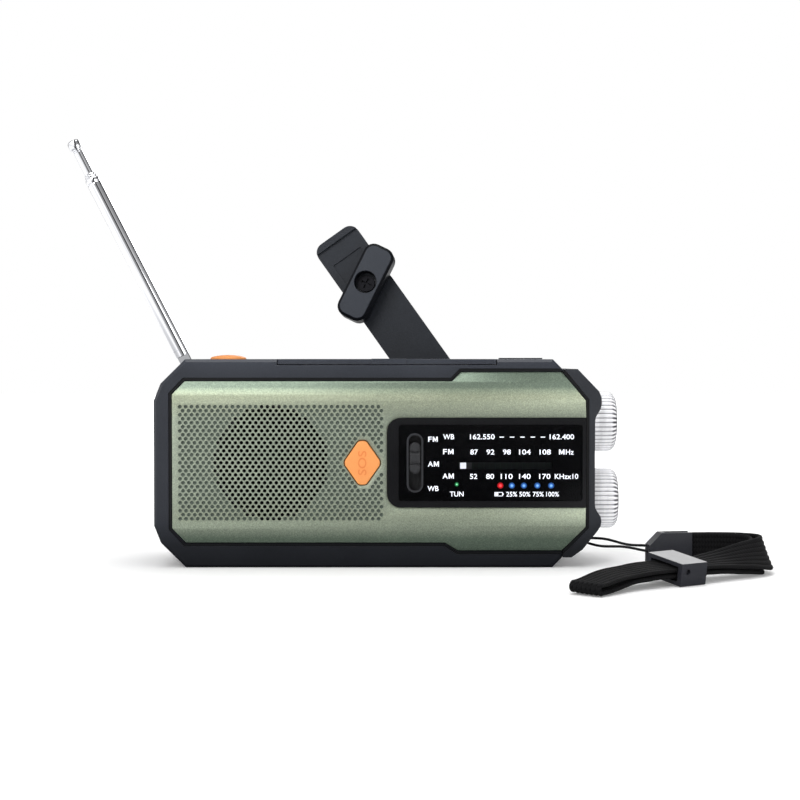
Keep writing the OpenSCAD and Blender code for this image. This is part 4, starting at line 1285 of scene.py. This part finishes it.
# stations along the strap: x, y, z, tilt of the width in degrees, half gap of the layers
STRAP_STATIONS = [
    on_clip(6), on_clip(10.5), on_clip(15.5),
    (118.6, -24.9, 6.5, 90, 1.0), (126.6, -26.4, 6.45, 86, 1.25), (131.4, -31.8, 6.3, 76, 1.6),
    (130.2, -38.6, 6.0, 60, 1.6), (123.8, -44.6, 5.7, 38, 1.25), (115.2, -50, 5.35, 19, 1.0),
    on_slider(10.5), on_slider(5), on_slider(0), on_slider(-6), on_slider(-12),
    (84, -70.5, 4.6, 7, 1.0), (78, -74.6, 4.0, 6, 1.05), (71, -82.2, 3.0, 3, 1.2),
    (66.4, -87.2, 2.3, 1, 1.3),
]


def catmull_rom(stations, steps):
    line = []
    last = len(stations) - 1
    for i in range(last):
        corners = (stations[max(i - 1, 0)], stations[i], stations[i + 1],
                   stations[min(i + 2, last)])
        for j in range(steps):
            t = j / steps
            line.append(tuple(
                0.5 * ((2 * b) + (c - a) * t + (2 * a - 5 * b + 4 * c - d) * t * t
                       + (3 * b - a - 3 * c + d) * t ** 3)
                for a, b, c, d in zip(*corners)))
    line.append(tuple(stations[-1]))
    return line


def looseness(i):
    """0 where the webbing is held, 1 on its two free lengths."""
    return (max(0.0, min(1.0, (i - 45) / 20, (118 - i) / 12))
            + max(0.0, min(1.0, (i - 190) / 20)))


def webbing_section():
    """Closed section as (share of the width, half thickness) with rounded ribs."""
    upper = []
    for j in range(ACROSS_STEPS + 1):
        across = j / ACROSS_STEPS
        rib = abs(math.sin(across * pi * WEBBING_RIBS)) ** 0.62
        edge = min(1.0, min(across, 1 - across) / 0.035)
        upper.append((across, (0.33 + 0.32 * rib) * (0.30 + 0.70 * math.sqrt(edge))))
    return upper + [(across, -height) for across, height in reversed(upper)]


def webbing_frames():
    """Out along one layer, round the end fold and back: (centre, width, normal, loose)."""
    line = catmull_rom(STRAP_STATIONS, ALONG_STEPS)
    last = len(line) - 1
    centres = [Vector(station[:3]) for station in line]
    tangents, widths, normals = [], [], []
    for i, station in enumerate(line):
        tangent = (centres[min(i + 1, last)] - centres[max(i - 1, 0)]).normalized()
        level = Vector((tangent.y, -tangent.x, 0)).normalized()
        upright = (Vector((0, 0, 1)) - tangent * tangent.z).normalized()
        tilt = math.radians(station[3])
        width = level * math.cos(tilt) + upright * math.sin(tilt)
        tangents.append(tangent)
        widths.append(width)
        normals.append(tangent.cross(width))

    def layer(side, order, rate, phase):
        """One layer on a side of the centre line, with a slow ripple where it is loose."""
        frames = []
        for i in order:
            loose = looseness(i)
            gap = line[i][4] + 0.16 * loose * math.sin(i * rate + phase)
            frames.append((centres[i] + normals[i] * (side * gap), widths[i],
                           normals[i] * -side, loose))
        return frames

    frames = layer(-1, range(last + 1), rate=0.21, phase=0.0)
    tangent, normal, gap = tangents[last], normals[last], line[last][4]
    for k in range(1, FOLD_STEPS):
        angle = pi * k / FOLD_STEPS
        outward = tangent * math.sin(angle) - normal * math.cos(angle)
        frames.append((centres[last] + outward * gap, widths[last],
                       normal * math.cos(angle) - tangent * math.sin(angle), 1.0))
    return frames + layer(1, range(last, -1, -1), rate=0.17, phase=1.0)


def build_webbing():
    section = webbing_section()
    frames = webbing_frames()
    verts, uvs = [], []
    run = 0.0
    for k, (centre, width, normal, loose) in enumerate(frames):
        if k:
            run += (centre - frames[k - 1][0]).length
        cup = 0.10 * loose
        for across, height in section:
            sink = cup * (1 - (2 * across - 1) ** 2)
            verts.append((centre + width * ((across - 0.5) * WEBBING_WIDTH)
                          + normal * (height - sink)) * MM)
            uvs.append((run / PICK_LENGTH, across))
    webbing = piece("strap_webbing_ribbed", verts, tube_faces(len(frames), len(section)),
                    "wrist_strap", WEBBING, smooth=60, uvs=uvs)
    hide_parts("strap_webbing")


def sweep(points, radius, seg=12, closed=False):
    """Round cord along a line of points."""
    verts = []
    last = len(points) - 1
    side = Vector((0, 0, 1))
    for i, point in enumerate(points):
        before = points[i - 1] if closed or i else points[0]
        after = points[(i + 1) % len(points)] if closed or i < last else points[-1]
        tangent = (after - before).normalized()
        side = (side - tangent * side.dot(tangent)).normalized()
        other = tangent.cross(side)
        for k in range(seg):
            angle = 2 * pi * k / seg
            offset = (side * math.cos(angle) + other * math.sin(angle)) * radius
            verts.append((point + offset) * MM)
    return verts, tube_faces(len(points), seg, closed)


def cord_strand(side):
    """One of the two strands from the anchor ring to the clip; side is 1 or -1."""
    start = Vector((70.4 + side * 1.4, -6 + side * 1.45, 8.6))
    end = Vector((95.4 + side * 0.4, -28.6 + side * 0.6, 7.2 + side * 0.9))
    along = end - start
    sideways = Vector((-along.y, along.x, 0)).normalized()
    points = []
    for k in range(49):
        t = k / 48
        point = start.lerp(end, t)
        slack = math.sin(t * pi) ** 2
        point.z += slack * (0.95 * side * math.sin(t * pi * 1.6 + 0.3) - 0.25)
        point += sideways * (side * 0.6 * slack)
        points.append(point)
    return points


def build_cord():
    angles = [2 * pi * k / 40 for k in range(40)]
    ring = [Vector((70.4 + 2.1 * math.cos(a), -6 + 2.1 * math.sin(a), 8.6)) for a in angles]
    verts, faces = sweep(ring, 0.5, closed=True)
    for side in (1, -1):
        strand_verts, strand_faces = sweep(cord_strand(side), 0.46)
        start = len(verts)
        verts += strand_verts
        faces += [tuple(start + i for i in face) for face in strand_faces]
    cord = piece("strap_cord_twin", verts, faces, "wrist_strap", CORD, smooth=60)
    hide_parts("strap_cord")


build_webbing()
build_cord()

# ------------------------------------------------------------------ softened CAD edges
# node and bevel width in metres
SOFT_EDGES = (
    ("front_housing", 0.00035), ("rear_housing", 0.00035), ("side_cap", 0.00045),
    ("window_bezel", 0.00035), ("dial_plate", 0.00015), ("band_switch", 0.00018),
    ("solar_lid", 0.00022), ("battery_cover", 0.00025), ("crank_hub", 0.0003),
    ("crank_arm", 0.00045), ("crank_grip", 0.0010), ("usb_flap", 0.0003),
    ("strap_plate", 0.0004), ("strap_slider", 0.0005), ("tuning_pointer", 0.0001),
)


def area_and_extent(obj):
    """Surface area with modifiers, and the low and high corners as one list."""
    depsgraph = bpy.context.evaluated_depsgraph_get()
    mesh = obj.evaluated_get(depsgraph).to_mesh()
    corners = [v.co for v in mesh.vertices]
    extent = [pick(co[axis] for co in corners) for pick in (min, max) for axis in range(3)]
    return sum(face.area for face in mesh.polygons), extent


def soften(name, width):
    """Bevels a node's sharp edges with modifiers, first with its flat faces merged.

    A result that strays from the original surface is undone, so a node may stay sharp.
    """
    obj = NODES[name]
    old_area, old_extent = area_and_extent(obj)
    for merge_flats in (True, False):
        weld = obj.modifiers.new("weld", "WELD")
        weld.merge_threshold = 1e-6
        if merge_flats:
            planar = obj.modifiers.new("planar", "DECIMATE")
            planar.decimate_type = "DISSOLVE"
            planar.angle_limit = math.radians(0.6)
        bevel = obj.modifiers.new("round", "BEVEL")
        bevel.width = width
        bevel.segments = 3
        bevel.limit_method = "ANGLE"
        bevel.angle_limit = math.radians(32)
        bevel.use_clamp_overlap = True
        obj.modifiers.new("tri", "TRIANGULATE")
        bpy.context.view_layer.update()
        new_area, new_extent = area_and_extent(obj)
        drift = max(abs(old - new) for old, new in zip(old_extent, new_extent))
        if 0.93 < new_area / old_area < 1.02 and drift < 0.0002:
            return
        obj.modifiers.clear()


for name, width in SOFT_EDGES:
    soften(name, width)


# ------------------------------------------------------------------ studio (metres)
def floor_material():
    """White floor that burns out away from the object; reflections see a darker one."""
    m = Material("floor_white")
    shade = m.ramp(m.noise(3, detail=2), [(0.3, 0.93), (0.7, 0.95)])
    m.set(Base_Color=shade, Roughness=0.9, Specular_IOR_Level=0.0)
    place = m.axes(m.place)
    radius = m.length(place[0], place[1])
    white = (1, 1, 1)
    burn = m.map_range(radius, source=(0.10, 0.60), target=(0.12, 1.2))
    lit = m.output_of("AddShader", m.shader.outputs[0], m.output_of("Emission", white, burn))
    # for reflections: glowing outside a wedge towards -Y, and again far away
    ring = m.map_range(radius, source=(0.14, 0.40), target=(0.0, 0.95))
    off_wedge = m.map_range(m.math("DIVIDE", place[1], radius), source=(-0.97, -0.88))
    far = m.map_range(radius, source=(1.35, 1.7))
    glow = m.math("MULTIPLY", ring, m.math("MAXIMUM", off_wedge, far))
    # inside the wedge the ground is darkest away from the object
    outside = m.map_range(radius, source=(0.12, 0.24))
    dim = m.math("MULTIPLY", outside, m.math("SUBTRACT", 1.0, off_wedge))
    ground = m.output_of("BsdfDiffuse", m.mix(dim, (0.20, 0.20, 0.21), (0.035, 0.035, 0.04)))
    mirrored = m.output_of("AddShader", ground, m.output_of("Emission", white, glow))
    glossy_ray = m.node("LightPath").outputs["Is Glossy Ray"]
    m.surface(m.output_of("MixShader", glossy_ray, lit, mirrored))
    return m.material


def build_floor():
    cells, half = 24, 1.6
    verts = [(-half + 2 * half * i / cells, -half + 2.6 * half * j / cells, -0.0001)
             for i in range(cells + 1) for j in range(cells + 1)]
    row = cells + 1
    corners = [i * row + j for i in range(cells) for j in range(cells)]
    faces = [(a, a + row, a + row + 1, a + 1) for a in corners]
    mesh = bpy.data.meshes.new("studio_floor")
    mesh.from_pydata(verts, [], faces)
    floor = add_object("studio_floor", mesh)
    mesh.materials.append(floor_material())


# brightness from straight down (0) to straight up (1)
SKY_BY_HEIGHT = [(0.0, 0.25), (0.42, 0.30), (0.5, 0.62), (0.60, 0.80), (0.70, 0.80),
                 (0.80, 0.30), (0.92, 0.22), (1.0, 0.6)]
# brightness round the horizon: 0.5 is -Y, behind the camera, lower is -X and higher is +X;
# a white card stands on the -X side and a narrow black flag just past the camera on +X
SKY_BY_TURN = [(0.0, 0.12), (0.10, 0.4), (0.18, 1.6), (0.30, 2.1), (0.46, 2.0), (0.485, 0.55),
               (0.532, 0.5), (0.54, 0.05), (0.575, 0.05), (0.595, 1.3), (0.72, 1.3),
               (0.80, 0.30), (1.0, 0.12)]


def build_world():
    """White for the camera, soft grey for diffuse light, cards and a flag for reflections."""
    world = bpy.data.worlds.new("studio")
    bpy.context.scene.world = world
    world.use_nodes = True
    g = Graph(world.node_tree)
    output = g.node("OutputWorld")
    ray = g.axes(g.coord("Generated"))
    height = g.map_range(ray[2], source=(-1.0, 1.0))
    sky = g.ramp(height, [(at, (grey, grey, grey * 1.01)) for at, grey in SKY_BY_HEIGHT])
    turn = g.math("ARCTAN2", ray[0], g.math("MULTIPLY", ray[1], -1.0))
    cards = g.ramp(g.map_range(turn, source=(-pi, pi)), SKY_BY_TURN)
    # backgrounds take colour and strength
    seen = g.output_of("Background", (1, 1, 1), 1.0)
    mirrored = g.output_of("Background", g.multiply(sky, cards), 0.80)
    soft = g.output_of("Background", (1, 1, 1), 0.36)
    path = g.node("LightPath").outputs
    lighting = g.output_of("MixShader", path["Is Glossy Ray"], soft, mirrored)
    final = g.output_of("MixShader", path["Is Camera Ray"], lighting, seen)
    g.link(final, output.inputs[0])


def add_softbox(name, location, target, size, power):
    light = bpy.data.lights.new(name, "AREA")
    light.shape = "RECTANGLE"
    light.size, light.size_y = size
    light.energy = power
    obj = add_object(name, light)
    obj.location = location
    aim = Vector(target) - Vector(location)
    obj.rotation_euler = aim.to_track_quat("-Z", "Y").to_euler()


def add_camera():
    data = bpy.data.cameras.new("camera")
    camera = add_object("camera", data)
    data.sensor_width = 36
    data.lens = 71.325
    data.clip_start = 0.01
    camera.location = (0.0087, -0.573, 0.0731)
    tip_down = 1.536        # degrees below level
    camera.rotation_euler = (math.radians(90 - tip_down), 0, 0)
    bpy.context.scene.camera = camera


build_floor()
build_world()
add_softbox("key_softbox", location=(-0.45, -0.85, 0.75), target=(0, 0, 0.04),
            size=(0.7, 0.5), power=5.4)
add_softbox("fill_softbox", location=(0.75, -0.7, 0.35), target=(0, 0, 0.04),
            size=(0.5, 0.6), power=2.4)
add_softbox("top_softbox", location=(0.0, 0.05, 1.0), target=(0, 0, 0.03),
            size=(0.9, 0.6), power=4.6)
add_softbox("rim_softbox", location=(0.3, 0.9, 0.5), target=(0, 0, 0.05),
            size=(0.8, 0.4), power=3.4)
add_camera()
bpy.context.scene.view_settings.view_transform = "Standard"
bpy.context.scene.view_settings.look = "None"

bpy.context.view_layer.update()
